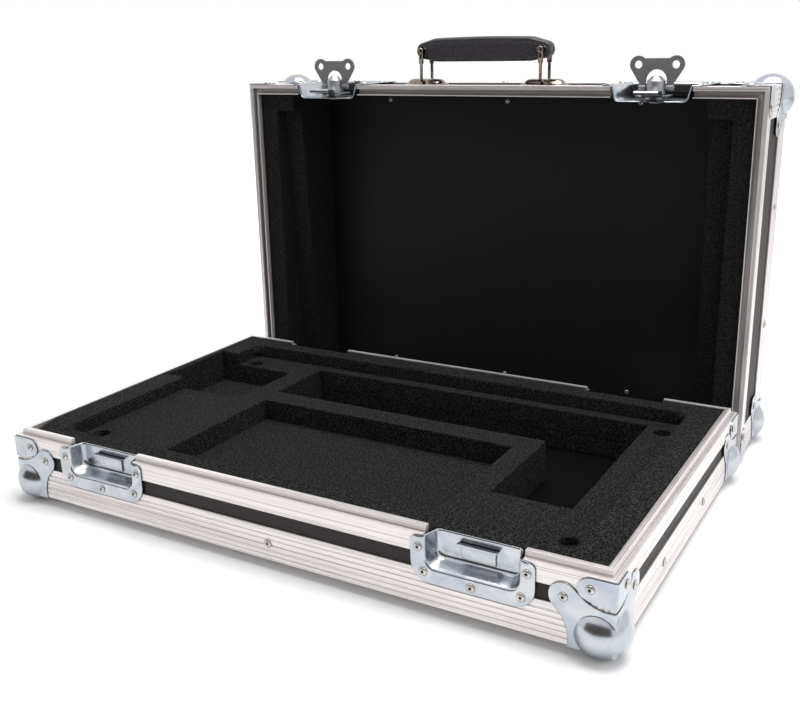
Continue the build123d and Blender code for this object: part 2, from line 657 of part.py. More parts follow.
def eyelet():
    """Flanged tube through a hub of the grip."""
    tube = Cylinder(EYELET_RADIUS, HUB_THICKNESS)
    ends = HUB_THICKNESS / 2 + EYELET_FLANGE / 2
    outline = RegularPolygon(EYELET_FLANGE_RADIUS, EYELET_SIDES)
    flange = extrude(outline, amount=EYELET_FLANGE / 2, both=True)
    for sign in (-1, 1):
        tube = tube + Pos(0, 0, sign * ends) * flange
    tube = tube - Cylinder(BAIL_RADIUS + EYELET_CLEARANCE, 2 * HUB_THICKNESS)
    return Pos(0, -GRIP_RISE, 0) * tube


# Foam, drawn in the tray

def pan_room():
    """Space that the four keeper pans take out of the foam."""
    reach = PAN_HALF_WIDTH + DISH_SHEET + PAN_CLEARANCE
    depth = PAN_DEPTH + DISH_SHEET + PAN_CLEARANCE
    low = -(KEEPER_PAN + DISH_SHEET + PAN_CLEARANCE)
    room = block((-reach, 0, low), (reach, depth, BASE_HEIGHT))
    return [on_wall(wall, room, along, BASE_HEIGHT)
            for wall in ("near", "far") for along in dish_places(wall).values()]


def foam_layer(low, high):
    layer = block((-FOAM_HALF_WIDTH, -FOAM_HALF_DEPTH, low), (FOAM_HALF_WIDTH, FOAM_HALF_DEPTH, high))
    for room in pan_room():
        layer = layer - room
    return layer


def pocket(left, right, front, back, low):
    """A square-sided pocket from a height up, through everything above, between four places."""
    return block((left, front, low), (right, back, 2 * BASE_HEIGHT))


def deep_pockets(low):
    """L of the long pocket at the back and its arm down the right side."""
    right = CASE_WIDTH / 2 - BACK_POCKET_RIGHT
    back = CASE_DEPTH / 2 - BACK_POCKET_BACK
    arm_front = ARM_POCKET_FRONT - CASE_DEPTH / 2
    long_part = pocket(BACK_POCKET_LEFT - CASE_WIDTH / 2, right, back - BACK_POCKET_SIZE, back, low)
    return long_part + pocket(right - ARM_POCKET_SIZE, right, arm_front, back, low)


def main_pocket(low):
    front = MAIN_POCKET_FRONT - CASE_DEPTH / 2
    back = CASE_DEPTH / 2 - BACK_POCKET_BACK - BACK_POCKET_SIZE - POCKET_WALL
    return pocket(MAIN_POCKET_LEFT - CASE_WIDTH / 2, CASE_WIDTH / 2 - MAIN_POCKET_RIGHT, front, back, low)


def small_pocket():
    """Pocket that runs out to the left wall."""
    back = CASE_DEPTH / 2 - SMALL_POCKET_BACK
    right = SMALL_POCKET_SIZE - CASE_WIDTH / 2
    return pocket(-CASE_WIDTH / 2, right, back - SMALL_POCKET_LENGTH, back, LAP + FOAM_PAD)


def foam_pad():
    return foam_layer(LAP, LAP + FOAM_PAD) - deep_pockets(0)


def foam_insert():
    """Block under the console: pockets for leads and controls, and holes for screw heads."""
    insert = foam_layer(LAP + FOAM_PAD, BED_FLOOR) - small_pocket() - main_pocket(0) - deep_pockets(0)
    hole = Cylinder(SCREW_HOLE_RADIUS, 2 * FOAM_INSERT)
    for x in (SCREW_HOLE_ENDS - CASE_WIDTH / 2, CASE_WIDTH / 2 - SCREW_HOLE_ENDS):
        for y in (SCREW_HOLE_FRONT - CASE_DEPTH / 2, CASE_DEPTH / 2 - SCREW_HOLE_BACK):
            insert = insert - Pos(x, y, BED_FLOOR) * hole
    return insert


def foam_surround():
    """Frame that holds the console's edge."""
    frame = foam_layer(BED_FLOOR, BASE_HEIGHT - FOAM_SETDOWN) - small_pocket()
    width = CASE_WIDTH - 2 * BED_ENDS
    depth = CASE_DEPTH - BED_FRONT - BED_BACK
    bed = Pos(0, (BED_FRONT - BED_BACK) / 2) * RectangleRounded(width, depth, BED_CORNER)
    return frame - extrude(bed, amount=2 * BASE_HEIGHT)


def lid_foam(side):
    """End block of the lid, rebated to the console's wedge-shaped cheek."""
    inner = CASE_WIDTH / 2 - LID_FOAM_WIDTH
    top = LID_HEIGHT - LID_FOAM_SETBACK
    cheek = block((inner, -FOAM_HALF_DEPTH, LAP), (FOAM_HALF_WIDTH, FOAM_HALF_DEPTH, top))
    front = CASE_DEPTH / 2 - REBATE_FRONT
    back = REBATE_BACK - CASE_DEPTH / 2
    wedge = Polyline(
        (back, LID_HEIGHT - REBATE_BACK_DEPTH),
        (front, LID_HEIGHT - REBATE_FRONT_DEPTH),
        (front, LID_HEIGHT),
        (back, LID_HEIGHT),
        close=True,
    )
    cheek = cheek - prism(Plane.YZ * wedge, CASE_WIDTH / 2 - REBATE_END, (1, 0, 0))
    return cheek if side == "right" else cheek.mirror(Plane.YZ)


# Rivets: low heads seated on what they clamp

def head(radius, height):
    """Bevelled rivet head on z = 0."""
    return extrude(RegularPolygon(radius, RIVET_SIDES), amount=height, taper=RIVET_BEVEL)


def face_rivet(along, drop, lift=0.0):
    """Rivet head on a wall's outer face, lifted by the plate under it."""
    return Pos(along, -lift, drop) * Rot(90, 0, 0) * head(RIVET_RADIUS, RIVET_HEIGHT)


def corner_rivets(half):
    """Heads of the ball corners and braces."""
    heads = []
    petal = face_rivet(PETAL_OFFSET, PETAL_OFFSET, CORNER_SHEET)
    diagonal = Axis((0, 0, 0), (1, 1, 1))
    ball_heads = [petal.rotate(diagonal, turn) for turn in (0, 120, 240)]
    lobe = face_rivet(BRACE_RIVET_ALONG, -BRACE_RIVET_DROP, CORNER_SHEET)
    brace_heads = [lobe, lobe.mirror(Plane(origin=(0, 0, 0), z_dir=(1, -1, 0)))]
    for place in at_corners():
        heads += [place * head for head in ball_heads]
    for place in at_corners(HEIGHT[half]):
        heads += [place * head for head in brace_heads]
    return heads


def dish_rivets(half):
    heads = []
    for wall in ("near", "far"):
        for middle in dish_places(wall).values():
            for along, drop in DISH_RIVETS[half]:
                heads.append(on_wall(wall, face_rivet(along, drop, DISH_SHEET), middle, HEIGHT[half]))
    return heads


def edge_rivets(half):
    """Heads along the closed edges, and on the lid their tails inside."""
    heads = []
    for wall in ("near", "far"):
        heads.append(on_wall(wall, face_rivet(0, ANGLE_LEG / 2)))
    for wall in ("left", "right"):
        heads += [on_wall(wall, face_rivet(along, ANGLE_LEG / 2)) for along in SIDE_RIVETS]
    if half == BASE:
        return heads
    tail = head(TAIL_RADIUS, TAIL_HEIGHT)
    outside = Rot(180, 0, 0) * head(RIVET_RADIUS, RIVET_HEIGHT)
    row = CASE_DEPTH / 2 - EDGE_RIVET_INSET
    for x in TOP_RIVETS:
        for y in (-row, row):
            heads += [Pos(x, y, LAP) * tail, Pos(x, y, 0) * outside]
    return heads


# The whole set

def save_half(half, names):
    """Panels, extrusions, corners and rivets that both halves share."""
    place = PLACE[half]
    front = FRONT_WALL[half]
    back = BACK_WALL[half]
    save(names["flat"], [flat_panel()], place)
    save(f"{half}_front_panel", [wall_panel(half, front)], place)
    save(f"{half}_back_panel", [wall_panel(half, back)], place)
    save(f"{half}_side_panels", [wall_panel(half, wall) for wall in ("left", "right")], place)
    save(f"{half}_edge_angles", [edge_angle(half, wall) for wall in WALL_TURN], place)
    save(f"{half}_corner_angles", [corner_angle(half, wall) for wall in WALL_TURN], place)
    save(f"{half}_rim_front", [rim(half, front)], place)
    save(f"{half}_rim_back", [rim(half, back)], place)
    save(f"{half}_rim_sides", [rim(half, wall) for wall in ("left", "right")], place)
    save(f"{half}_ball_corners", [corner * ball_corner() for corner in at_corners()], place)
    save(f"{half}_corner_braces", [corner * brace() for corner in at_corners(HEIGHT[half])], place)
    save(f"{half}_corner_rivets", corner_rivets(half), place)
    save(names["dish_rivets"], dish_rivets(half), place)
    save(f"{half}_edge_rivets", edge_rivets(half), place)
    plate = dish(half)
    for wall, end in ((front, "front"), (back, "back")):
        for hand, along in dish_places(wall).items():
            save(f"{names['dish']}_{end}_{hand}", [on_wall(wall, plate, along, HEIGHT[half])], place)


def save_base():
    save_half(BASE, {"flat": "base_floor_panel", "dish": "keeper_dish", "dish_rivets": "keeper_rivets"})
    place = PLACE[BASE]
    hook = keeper_hook()
    hooks = [on_wall(wall, hook, along, BASE_HEIGHT)
             for wall in ("near", "far") for along in dish_places(wall).values()]
    save("keeper_hooks", hooks, place)
    save("base_foam_pad", [foam_pad()], place)
    save("base_foam_insert", [foam_insert()], place)
    save("base_foam_surround", [foam_surround()], place)


def save_lid():
    save_half(LID, {"flat": "lid_top_panel", "dish": "latch_dish", "dish_rivets": "latch_rivets"})
    place = PLACE[LID]
    save("lid_foam_left", [lid_foam("left")], place)
    save("lid_foam_right", [lid_foam("right")], place)
    standing = latch_wing()
    wings = {"front": standing, "back": folded(standing)}
    for wall, end in ((FRONT_WALL[LID], "front"), (BACK_WALL[LID], "back")):
        for hand, along in dish_places(wall).items():
            for piece, shape in (("spindle", latch_spindle()), ("wing", wings[end]), ("hook", latch_hook())):
                save(f"latch_{piece}_{end}_{hand}", [on_wall(wall, shape, along, LID_HEIGHT)], place)


def save_handle():
    wall = FRONT_WALL[LID]
    height = LID_HEIGHT - HANDLE_DEPTH
    middle = along_for(wall, HANDLE_OFFSET)
    left = along_for(wall, HANDLE_OFFSET - HUB_SPACING / 2)
    right = along_for(wall, HANDLE_OFFSET + HUB_SPACING / 2)
    place = PLACE[LID]
    save("handle_cups", [on_wall(wall, cup(), along, height) for along in (left, right)], place)
    save("handle_bail_left", [on_wall(wall, bail(), left, height)], place)
    save("handle_bail_right", [on_wall(wall, bail(), right, height)], place)
    save("handle_grip", [on_wall(wall, grip(), middle, height)], place)
    save("handle_eyelets", [on_wall(wall, eyelet(), along, height) for along in (left, right)], place)


save_base()
save_lid()
save_handle()
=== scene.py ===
# %% [markdown]
# # A lighting console's flight case, opened, with its lid stood up behind it
#
# The exact shapes come from a CAD model. Here each part gets the finish of the real thing: extruded
# aluminium, zinc-plated pressings, laminated plywood and cut foam. Pressed, moulded and soft parts need
# rounder or finer shapes than the CAD gives them, so they are built again in the same places.

# %% Load the CAD frame
import json
from math import cos, pi, radians, sin

import bmesh
import bpy
from mathutils import Matrix, Vector, noise


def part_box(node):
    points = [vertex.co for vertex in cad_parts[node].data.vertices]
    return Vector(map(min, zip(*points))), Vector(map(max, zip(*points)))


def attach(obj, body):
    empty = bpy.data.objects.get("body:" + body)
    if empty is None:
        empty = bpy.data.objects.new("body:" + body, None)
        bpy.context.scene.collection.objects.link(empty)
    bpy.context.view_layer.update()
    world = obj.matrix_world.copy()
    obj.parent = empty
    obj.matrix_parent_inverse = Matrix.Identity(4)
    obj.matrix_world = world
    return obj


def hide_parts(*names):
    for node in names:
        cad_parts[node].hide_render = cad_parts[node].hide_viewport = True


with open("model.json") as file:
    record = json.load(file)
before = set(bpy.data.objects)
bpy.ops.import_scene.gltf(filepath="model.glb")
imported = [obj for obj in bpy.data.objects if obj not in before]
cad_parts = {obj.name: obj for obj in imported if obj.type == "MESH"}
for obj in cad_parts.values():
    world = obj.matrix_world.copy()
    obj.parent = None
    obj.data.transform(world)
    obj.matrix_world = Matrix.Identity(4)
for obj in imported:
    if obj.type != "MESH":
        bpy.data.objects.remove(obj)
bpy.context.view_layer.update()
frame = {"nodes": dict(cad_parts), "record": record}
cad_nodes = frame["nodes"]
MM = 0.001

# %% [markdown]
# ## The camera
#
# The photograph was taken from beyond the case's front right, a little above its lid, with a lens of
# about normal length. The camera's place and turn were fitted to 23 points measured in the picture,
# corners and places along straight edges, and it meets them within three pixels. A camera in Blender
# looks along its own minus Z, so its axes are written as the columns of a matrix.

# %% Place the camera
EYE = Vector((481.32, -846.11, 426.44)) * MM
YAW = -0.5266
PITCH = 0.2998
ROLL = -0.0213
PICTURE_WIDTH = 800
FOCAL_PIXELS = 1009.4

forward = Vector((sin(YAW) * cos(PITCH), cos(YAW) * cos(PITCH), -sin(PITCH)))
level_right = Vector((cos(YAW), -sin(YAW), 0))
level_up = level_right.cross(forward)
right = level_right * cos(ROLL) + level_up * sin(ROLL)
up = level_up * cos(ROLL) - level_right * sin(ROLL)


def put_in_scene(name, data):
    """An object made from a mesh, a curve, a lamp or a camera, linked to the scene."""
    thing = bpy.data.objects.new(name, data)
    bpy.context.scene.collection.objects.link(thing)
    return thing


camera_data = bpy.data.cameras.new("camera")
camera_data.sensor_fit = "HORIZONTAL"
camera_data.sensor_width = 36.0
camera_data.lens = FOCAL_PIXELS / PICTURE_WIDTH * camera_data.sensor_width
camera_data.clip_start = 0.01
camera = put_in_scene("camera", camera_data)
turn = Matrix((right, up, -forward)).transposed()
camera.matrix_world = Matrix.Translation(EYE) @ turn.to_4x4()
bpy.context.scene.camera = camera
print("lens:", round(camera_data.lens, 2), "mm")

# %% [markdown]
# ## Helpers for colours and nodes
#
# A colour picked from a picture is an sRGB value, while a shader works with linear light, so
# one function converts it. Another adds a node with its settings, and fills its inputs with values or
# with what other nodes give.

# %% Colour and node helpers


def linear(code):
    """A colour written as RRGGBB, turned to linear light."""
    values = [int(code[i:i + 2], 16) / 255 for i in (0, 2, 4)]
    return [v / 12.92 if v <= 0.04045 else ((v + 0.055) / 1.055) ** 2.4 for v in values] + [1.0]


def fill(tree, node, inputs):
    """Gives each named input a value, or a link from the output socket of another node."""
    for key, value in inputs.items():
        socket = node.inputs[key]
        if isinstance(value, bpy.types.NodeSocket):
            tree.links.new(value, socket)
        else:
            socket.default_value = value


def add(tree, kind, inputs=None, **settings):
    """Adds a node with its settings and its inputs."""
    node = tree.nodes.new(kind)
    for name, value in settings.items():
        setattr(node, name, value)
    fill(tree, node, inputs or {})
    return node


def start_material(name):
    """An empty node material with a Principled shader wired to its output."""
    material = bpy.data.materials.new(name)
    material.use_nodes = True
    tree = material.node_tree
    tree.nodes.clear()
    shader = add(tree, "ShaderNodeBsdfPrincipled")
    add(tree, "ShaderNodeOutputMaterial", {"Surface": shader.outputs[0]})
    return material, tree, shader


# Painted shade: colours are darkened near inner corners, gaps and recesses, out to this reach.
PAINTED_SHADE_REACH = 7 * MM


def with_painted_shade(tree, tone):
    """A colour darkened near inner corners, gaps and recesses: painted shade where less light reaches.
    """
    near = add(tree, "ShaderNodeAmbientOcclusion", {"Distance": PAINTED_SHADE_REACH}, samples=8)
    shade = add(tree, "ShaderNodeMapRange",
                {"Value": near.outputs["AO"], "From Min": 0.25, "From Max": 0.85, "To Min": 0.15})
    shaded_tone = add(tree, "ShaderNodeVectorMath", {0: tone, "Scale": shade.outputs[0]}, operation="SCALE")
    return shaded_tone.outputs[0]


# %% [markdown]
# ## Extruded aluminium
#
# The edges are aluminium pushed through a die and lightly anodised. The die leaves fine straight lines
# along each length. The anodised layer scatters some of the light as paint would, so the metal stays
# silvery white even where it mirrors something dark. Noise that hardly changes along one axis draws
# the lines. It is made from object coordinates, which are the real metres here, because the CAD meshes
# have no UVs. Lengths run three ways, so there is one material for each way. The ribbed edge angles
# hold lengths along two ways in one part, so their material changes from one to the other across the
# mitre. A Bevel node rounds the shading at the CAD's sharp edges, as the die rounds the metal.

# %% Extrusion finish
LINE_SPACING = 1.3 * MM
CHANGE_ALONG_LINE = 0.004


def die_lines(tree, place, run):
    """Lines 0.5 mm apart on the real thing, drawn at 1.3 mm so that they show in the render."""
    squeeze = [1.0, 1.0, 1.0]
    squeeze[run] = CHANGE_ALONG_LINE
    flat = add(tree, "ShaderNodeVectorMath", {0: place, 1: squeeze}, operation="MULTIPLY")
    lines = add(tree, "ShaderNodeTexNoise",
                {"Vector": flat.outputs[0], "Scale": 1 / LINE_SPACING, "Detail": 1.0, "Roughness": 0.6})
    return lines.outputs["Fac"]


def anodised_aluminium(name, run, other_run=None, middle=0.0, difference=0.0):
    """Satin metal with die lines along run, or along other_run where that wall is nearer."""
    material, tree, shader = start_material(name)
    place = add(tree, "ShaderNodeTexCoord").outputs["Object"]
    lines = die_lines(tree, place, run)
    if other_run is not None:
        apart = add(tree, "ShaderNodeSeparateXYZ", {0: place})
        side = add(tree, "ShaderNodeMath", {0: apart.outputs[0]}, operation="ABSOLUTE")
        offset = add(tree, "ShaderNodeMath", {0: apart.outputs[other_run], 1: middle},
                     operation="SUBTRACT")
        across = add(tree, "ShaderNodeMath", {0: offset.outputs[0]}, operation="ABSOLUTE")
        edge = add(tree, "ShaderNodeMath", {0: across.outputs[0], 1: difference}, operation="ADD")
        is_side = add(tree, "ShaderNodeMath", {0: side.outputs[0], 1: edge.outputs[0]},
                      operation="GREATER_THAN")
        lines = add(tree, "ShaderNodeMix",
                    {0: is_side.outputs[0], 2: lines, 3: die_lines(tree, place, other_run)}).outputs[0]
    handled = add(tree, "ShaderNodeTexNoise",
                  {"Vector": place, "Scale": 1 / (30 * MM), "Detail": 4.0, "Roughness": 0.6})
    depth = add(tree, "ShaderNodeMapRange", {"Value": lines, "From Min": 0.3, "From Max": 0.5})
    tone = add(tree, "ShaderNodeMix", {0: depth.outputs[0], 6: linear("C6C0BF"), 7: linear("EEE8E7")},
               data_type="RGBA")
    # Painted shade near inner corners and gaps.
    shaded_tone = with_painted_shade(tree, tone.outputs[2])
    rough = add(tree, "ShaderNodeMapRange",
                {"Value": handled.outputs["Fac"], "From Min": 0.3, "From Max": 0.7, "To Min": 0.3,
                 "To Max": 0.42})
    rounded = add(tree, "ShaderNodeBevel", {"Radius": 0.6 * MM}, samples=6)
    bump = add(tree, "ShaderNodeBump",
               {"Height": lines, "Strength": 0.3, "Distance": 0.05 * MM,
                "Normal": rounded.outputs["Normal"]})
    fill(tree, shader, {"Base Color": shaded_tone, "Metallic": 0.65, "Roughness": rough.outputs[0],
                        "Normal": bump.outputs["Normal"]})
    return material


base_low, base_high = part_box("base_edge_angles")
lid_low, lid_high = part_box("lid_edge_angles")
half_difference = (base_high.x - base_low.x - base_high.y + base_low.y) / 2
across_finish = anodised_aluminium("anodised_aluminium_along_x", 0)
deep_finish = anodised_aluminium("anodised_aluminium_along_y", 1)
upright_finish = anodised_aluminium("anodised_aluminium_along_z", 2)
base_edge_finish = anodised_aluminium("anodised_aluminium_base_edge", 0, 1,
                                      (base_low.y + base_high.y) / 2, half_difference)
lid_edge_finish = anodised_aluminium("anodised_aluminium_lid_edge", 0, 2,
                                     (lid_low.z + lid_high.z) / 2, half_difference)
print("half the case's width less half its depth:", round(half_difference / MM, 1), "mm")

# %% [markdown]
# ## Bright zinc plate
#
# Corners, keepers and latch dishes are pressed from mild steel and zinc plated. The clear passivation
# over the zinc is thinner and thicker in places, which tints it pale blue and grey. A slow noise blends
# the two tints, and a quick one varies the gloss as handling does. The wings are plated dull, the
# handle's wire and cups are dark nickel, and the rivets are plain aluminium.

# %% Plated finishes


def plated(name, first, second, roughness, metallic=1.0):
    """Two tints that drift over 18 mm, and handling marks 3 mm across."""
    material, tree, shader = start_material(name)
    place = add(tree, "ShaderNodeTexCoord").outputs["Object"]
    drift = add(tree, "ShaderNodeTexNoise",
                {"Vector": place, "Scale": 1 / (18 * MM), "Detail": 4.0, "Distortion": 0.6})
    patch = add(tree, "ShaderNodeMapRange",
                {"Value": drift.outputs["Fac"], "From Min": 0.35, "From Max": 0.65})
    tone = add(tree, "ShaderNodeMix", {0: patch.outputs[0], 6: linear(first), 7: linear(second)},
               data_type="RGBA")
    # Painted shade near inner corners and gaps.
    shaded_tone = with_painted_shade(tree, tone.outputs[2])
    marks = add(tree, "ShaderNodeTexNoise",
                {"Vector": place, "Scale": 1 / (3 * MM), "Detail": 5.0, "Roughness": 0.65})
    rough = add(tree, "ShaderNodeMapRange",
                {"Value": marks.outputs["Fac"], "From Min": 0.3, "From Max": 0.7,
                 "To Min": roughness - 0.04, "To Max": roughness + 0.05})
    rounded = add(tree, "ShaderNodeBevel", {"Radius": 0.4 * MM}, samples=6)
    bump = add(tree, "ShaderNodeBump",
               {"Height": marks.outputs["Fac"], "Strength": 0.06, "Distance": 0.08 * MM,
                "Normal": rounded.outputs["Normal"]})
    fill(tree, shader, {"Base Color": shaded_tone, "Metallic": metallic, "Roughness": rough.outputs[0],
                        "Normal": bump.outputs["Normal"]})
    return material


zinc_finish = plated("bright_zinc_plate", "C8CBCE", "AFB5BF", 0.22)
rivet_finish = plated("mill_aluminium_rivet", "D2CFCB", "C2BEB9", 0.3)
wing_finish = plated("dull_zinc_plate", "8E8E90", "848486", 0.45, 0.7)
post_finish = plated("satin_zinc_plate", "B4B5B7", "A2A4A8", 0.4, 0.85)
nickel_finish = plated("dark_nickel_plate", "94877F", "7D736F", 0.16)
for finish in (zinc_finish, rivet_finish, wing_finish, post_finish, nickel_finish):
    print("finish:", finish.name)

# %% [markdown]
# ## Laminated plywood
#
# The panels are birch plywood faced with dark phenolic laminate, pressed against a fine texture that
# keeps scratches from showing. That texture is a field of small cells. In the photograph the outside
# looks a brownish grey and the inside black, which is mostly shade inside the case, so a near-black
# tone is painted on the inner side of a plane inside the lid's top panel and the base's floor panel:
# painted shade. The floor of the open pockets shows no gloss there, so it gets less here.

# %% Laminate finish


def phenolic_laminate(name, outside, inside=None, axis=0, plane=0.0, is_out="GREATER_THAN", gloss=0.35):
    """Pressed cells 1.5 mm across; outside tone on one side of a plane across an axis, painted shade on
    the other.
    """
    material, tree, shader = start_material(name)
    place = add(tree, "ShaderNodeTexCoord").outputs["Object"]
    cells = add(tree, "ShaderNodeTexVoronoi", {"Vector": place, "Scale": 1 / (1.5 * MM)})
    fleck = add(tree, "ShaderNodeTexNoise", {"Vector": place, "Scale": 1 / (1.5 * MM), "Detail": 3.0})
    grit = add(tree, "ShaderNodeMapRange",
               {"Value": fleck.outputs["Fac"], "From Min": 0.35, "From Max": 0.65, "To Min": 0.7,
                "To Max": 1.3})
    colour = linear(outside)[:3]
    if inside:
        apart = add(tree, "ShaderNodeSeparateXYZ", {0: place})
        is_outside = add(tree, "ShaderNodeMath", {0: apart.outputs[axis], 1: plane}, operation=is_out)
        colour = add(tree, "ShaderNodeMix",
                     {0: is_outside.outputs[0], 6: linear(inside), 7: linear(outside)},
                     data_type="RGBA").outputs[2]
    tone = add(tree, "ShaderNodeVectorMath", {0: colour, "Scale": grit.outputs[0]}, operation="SCALE")
    bump = add(tree, "ShaderNodeBump",
               {"Height": cells.outputs["Distance"], "Strength": 0.3, "Distance": 0.1 * MM})
    fill(tree, shader, {"Base Color": tone.outputs[0], "Roughness": 0.55, "IOR": 1.5,
                        "Specular IOR Level": gloss, "Normal": bump.outputs["Normal"]})
    return material


OUTSIDE = "221F1D"
top_low, top_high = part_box("lid_top_panel")
laminate_finish = phenolic_laminate("phenolic_laminate", OUTSIDE)
# The near-black inside tones of these two panels are painted shade.
lid_top_finish = phenolic_laminate("phenolic_laminate_lid_top", OUTSIDE, "090A0B",
                                   1, (top_low.y + top_high.y) / 2)
floor_low, floor_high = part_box("base_floor_panel")
base_floor_finish = phenolic_laminate("phenolic_laminate_base_floor", OUTSIDE, "060606",
                                      2, (floor_low.z + floor_high.z) / 2, "LESS_THAN", 0.08)
print("finishes:", laminate_finish.name, lid_top_finish.name, base_floor_finish.name)

# %% [markdown]
# ## Closed-cell foam
#
# Case foam is polyethylene foam cut with a blade, so every face shows opened cells: a dull charcoal
# peppered with lighter walls of cells, and no gloss at all. Two sizes of cell are mixed. In the
# photograph the lid's foam looks darker and more even than the base's, as it lies in the shade inside
# the lid, so it has tones of its own: painted shade.

# %% Foam finish


def case_foam(name, hollow, cell_wall):
    """Cells 0.8 mm across, drawn at 1.0 and 2.0 mm so that they show in the render."""
    material, tree, shader = start_material(name)
    place = add(tree, "ShaderNodeTexCoord").outputs["Object"]
    fine = add(tree, "ShaderNodeTexNoise",
               {"Vector": place, "Scale": 1 / (1.0 * MM), "Detail": 2.0, "Roughness": 0.8})
    cells = add(tree, "ShaderNodeTexVoronoi", {"Vector": place, "Scale": 1 / (2.0 * MM)})
    walls = add(tree, "ShaderNodeMath", {0: cells.outputs["Distance"], 1: 0.35}, operation="MULTIPLY")
    mixed = add(tree, "ShaderNodeMath", {0: fine.outputs["Fac"], 1: walls.outputs[0]}, operation="ADD")
    pepper = add(tree, "ShaderNodeMapRange",
                 {"Value": mixed.outputs[0], "From Min": 0.6, "From Max": 0.81})
    tone = add(tree, "ShaderNodeMix", {0: pepper.outputs[0], 6: linear(hollow), 7: linear(cell_wall)},
               data_type="RGBA")
    bump = add(tree, "ShaderNodeBump",
               {"Height": mixed.outputs[0], "Strength": 0.5, "Distance": 0.4 * MM})
    fill(tree, shader, {"Base Color": tone.outputs[2], "Roughness": 0.95, "Specular IOR Level": 0.1,
                        "Normal": bump.outputs["Normal"]})
    return material


foam_finish = case_foam("polyethylene_foam", "040404", "343433")
# Darker, more even tones for the foam inside the lid: painted shade.
shaded_lid_foam_finish = case_foam("polyethylene_foam_in_lid_painted_shade", "111110", "282827")
print("finishes:", foam_finish.name, shaded_lid_foam_finish.name)

# %% [markdown]
# ## Moulded grip
#
# Such a grip is soft PVC moulded round a steel strip, with a fine leather grain from the mould. A noise
# greys it a little in spots, as handling does.

# %% Grip finish


def moulded_pvc():
    """Leather grain 1.4 mm across, and a dusty wear tone."""
    material, tree, shader = start_material("moulded_pvc")
    place = add(tree, "ShaderNodeTexCoord").outputs["Object"]
    grain = add(tree, "ShaderNodeTexVoronoi", {"Vector": place, "Scale": 1 / (1.4 * MM)})
    wear = add(tree, "ShaderNodeTexNoise",
               {"Vector": place, "Scale": 1 / (2.5 * MM), "Detail": 4.0, "Roughness": 0.7})
    rubbed = add(tree, "ShaderNodeMapRange",
                 {"Value": wear.outputs["Fac"], "From Min": 0.35, "From Max": 0.7})
    tone = add(tree, "ShaderNodeMix", {0: rubbed.outputs[0], 6: linear("17151A"), 7: linear("39353A")},
               data_type="RGBA")
    bump = add(tree, "ShaderNodeBump",
               {"Height": grain.outputs["Distance"], "Strength": 0.4, "Distance": 0.2 * MM})
    fill(tree, shader, {"Base Color": tone.outputs[2], "Roughness": 0.5,
                        "Normal": bump.outputs["Normal"]})
    return material


grip_finish = moulded_pvc()
print("finish:", grip_finish.name)

# %% [markdown]
# ## Dress the CAD parts
#
# Parts whose CAD shape is already right only get a finish, chosen by the record's material slot. The
# extrusions, two of the panels, the lid's foam, and the latches' wings and posts get theirs by name.

# %% Finish every CAD part
FINISH_OF_SLOT = {
    "extrusion": across_finish,
    "zinc": zinc_finish,
    "rivet": rivet_finish,
    "laminate": laminate_finish,
    "foam": foam_finish,
    "latch_metal": zinc_finish,
    "nickel": nickel_finish,
    "grip": grip_finish,
}
FINISH_OF_NODE = {
    "base_rim_sides": deep_finish,
    "lid_rim_sides": upright_finish,
    "base_corner_angles": upright_finish,
    "lid_corner_angles": deep_finish,
    "base_edge_angles": base_edge_finish,
    "lid_edge_angles": lid_edge_finish,
    "lid_top_panel": lid_top_finish,
    "base_floor_panel": base_floor_finish,
    "lid_foam_left": shaded_lid_foam_finish,
    "lid_foam_right": shaded_lid_foam_finish,
}
for name in cad_nodes:
    if name.startswith("latch_wing"):
        FINISH_OF_NODE[name] = wing_finish
    if name.startswith("latch_spindle"):
        FINISH_OF_NODE[name] = post_finish
for subpart in frame["record"]["subparts"]:
    finish = FINISH_OF_NODE.get(subpart["node"], FINISH_OF_SLOT[subpart["material_slot"]])
    for slot in cad_nodes[subpart["node"]].material_slots:
        slot.material = finish
print("dressed", len(cad_nodes), "parts")

# %% [markdown]
# ## New pieces
#
# Every new piece is a mesh or a curve in the frame's own metres. One helper makes its object, gives it
# its finish, lets it ride on a body and says which CAD parts it stands for. Two more make a mesh from
# points and faces or from a bmesh, and a third lays faces between rings of points.

# %% Piece helpers


def new_piece(name, data, body, finishes, instead_of=()):
    """Puts a mesh or a curve in the scene with its finishes, in place of some CAD parts."""
    for finish in finishes:
        data.materials.append(finish)
    piece = put_in_scene(name, data)
    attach(piece, body)
    if instead_of:
        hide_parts(*instead_of)
    return piece


def mesh_from(name, points, faces):
    """A smooth mesh from points in metres and faces of point numbers."""
    mesh = bpy.data.meshes.new(name)
    mesh.from_pydata([tuple(point) for point in points], [], faces)
    mesh.validate()
    for polygon in mesh.polygons:
        polygon.use_smooth = True
    return mesh


def mesh_of(name, shape):
    """A mesh from a finished bmesh, which is freed."""
    mesh = bpy.data.meshes.new(name)
    shape.to_mesh(mesh)
    shape.free()
    return mesh


def join_rings(faces, first, rings, around, inside_out=False):
    """Adds the faces between closed rings of points, counted from the point numbered first."""
    for ring in range(rings - 1):
        for step in range(around):
            a = first + ring * around + step
            b = first + ring * around + (step + 1) % around
            if inside_out:
                a, b = b, a
            faces.append((a, b, b + around, a + around))


# %% [markdown]
# ## Blind rivets
#
# A blind rivet is a hollow aluminium dome. Its steel mandrel snaps off inside, which leaves a hole
# in the middle. The hole's floor is near black: partly the snapped mandrel's steel, partly painted
# shade in the hole. The CAD has plain bevelled heads, one loose island of mesh for each, so each
# head's place and direction are read from its island, and a turned profile is set there: an undercut
# foot, a dome, and a rolled lip round the hole.

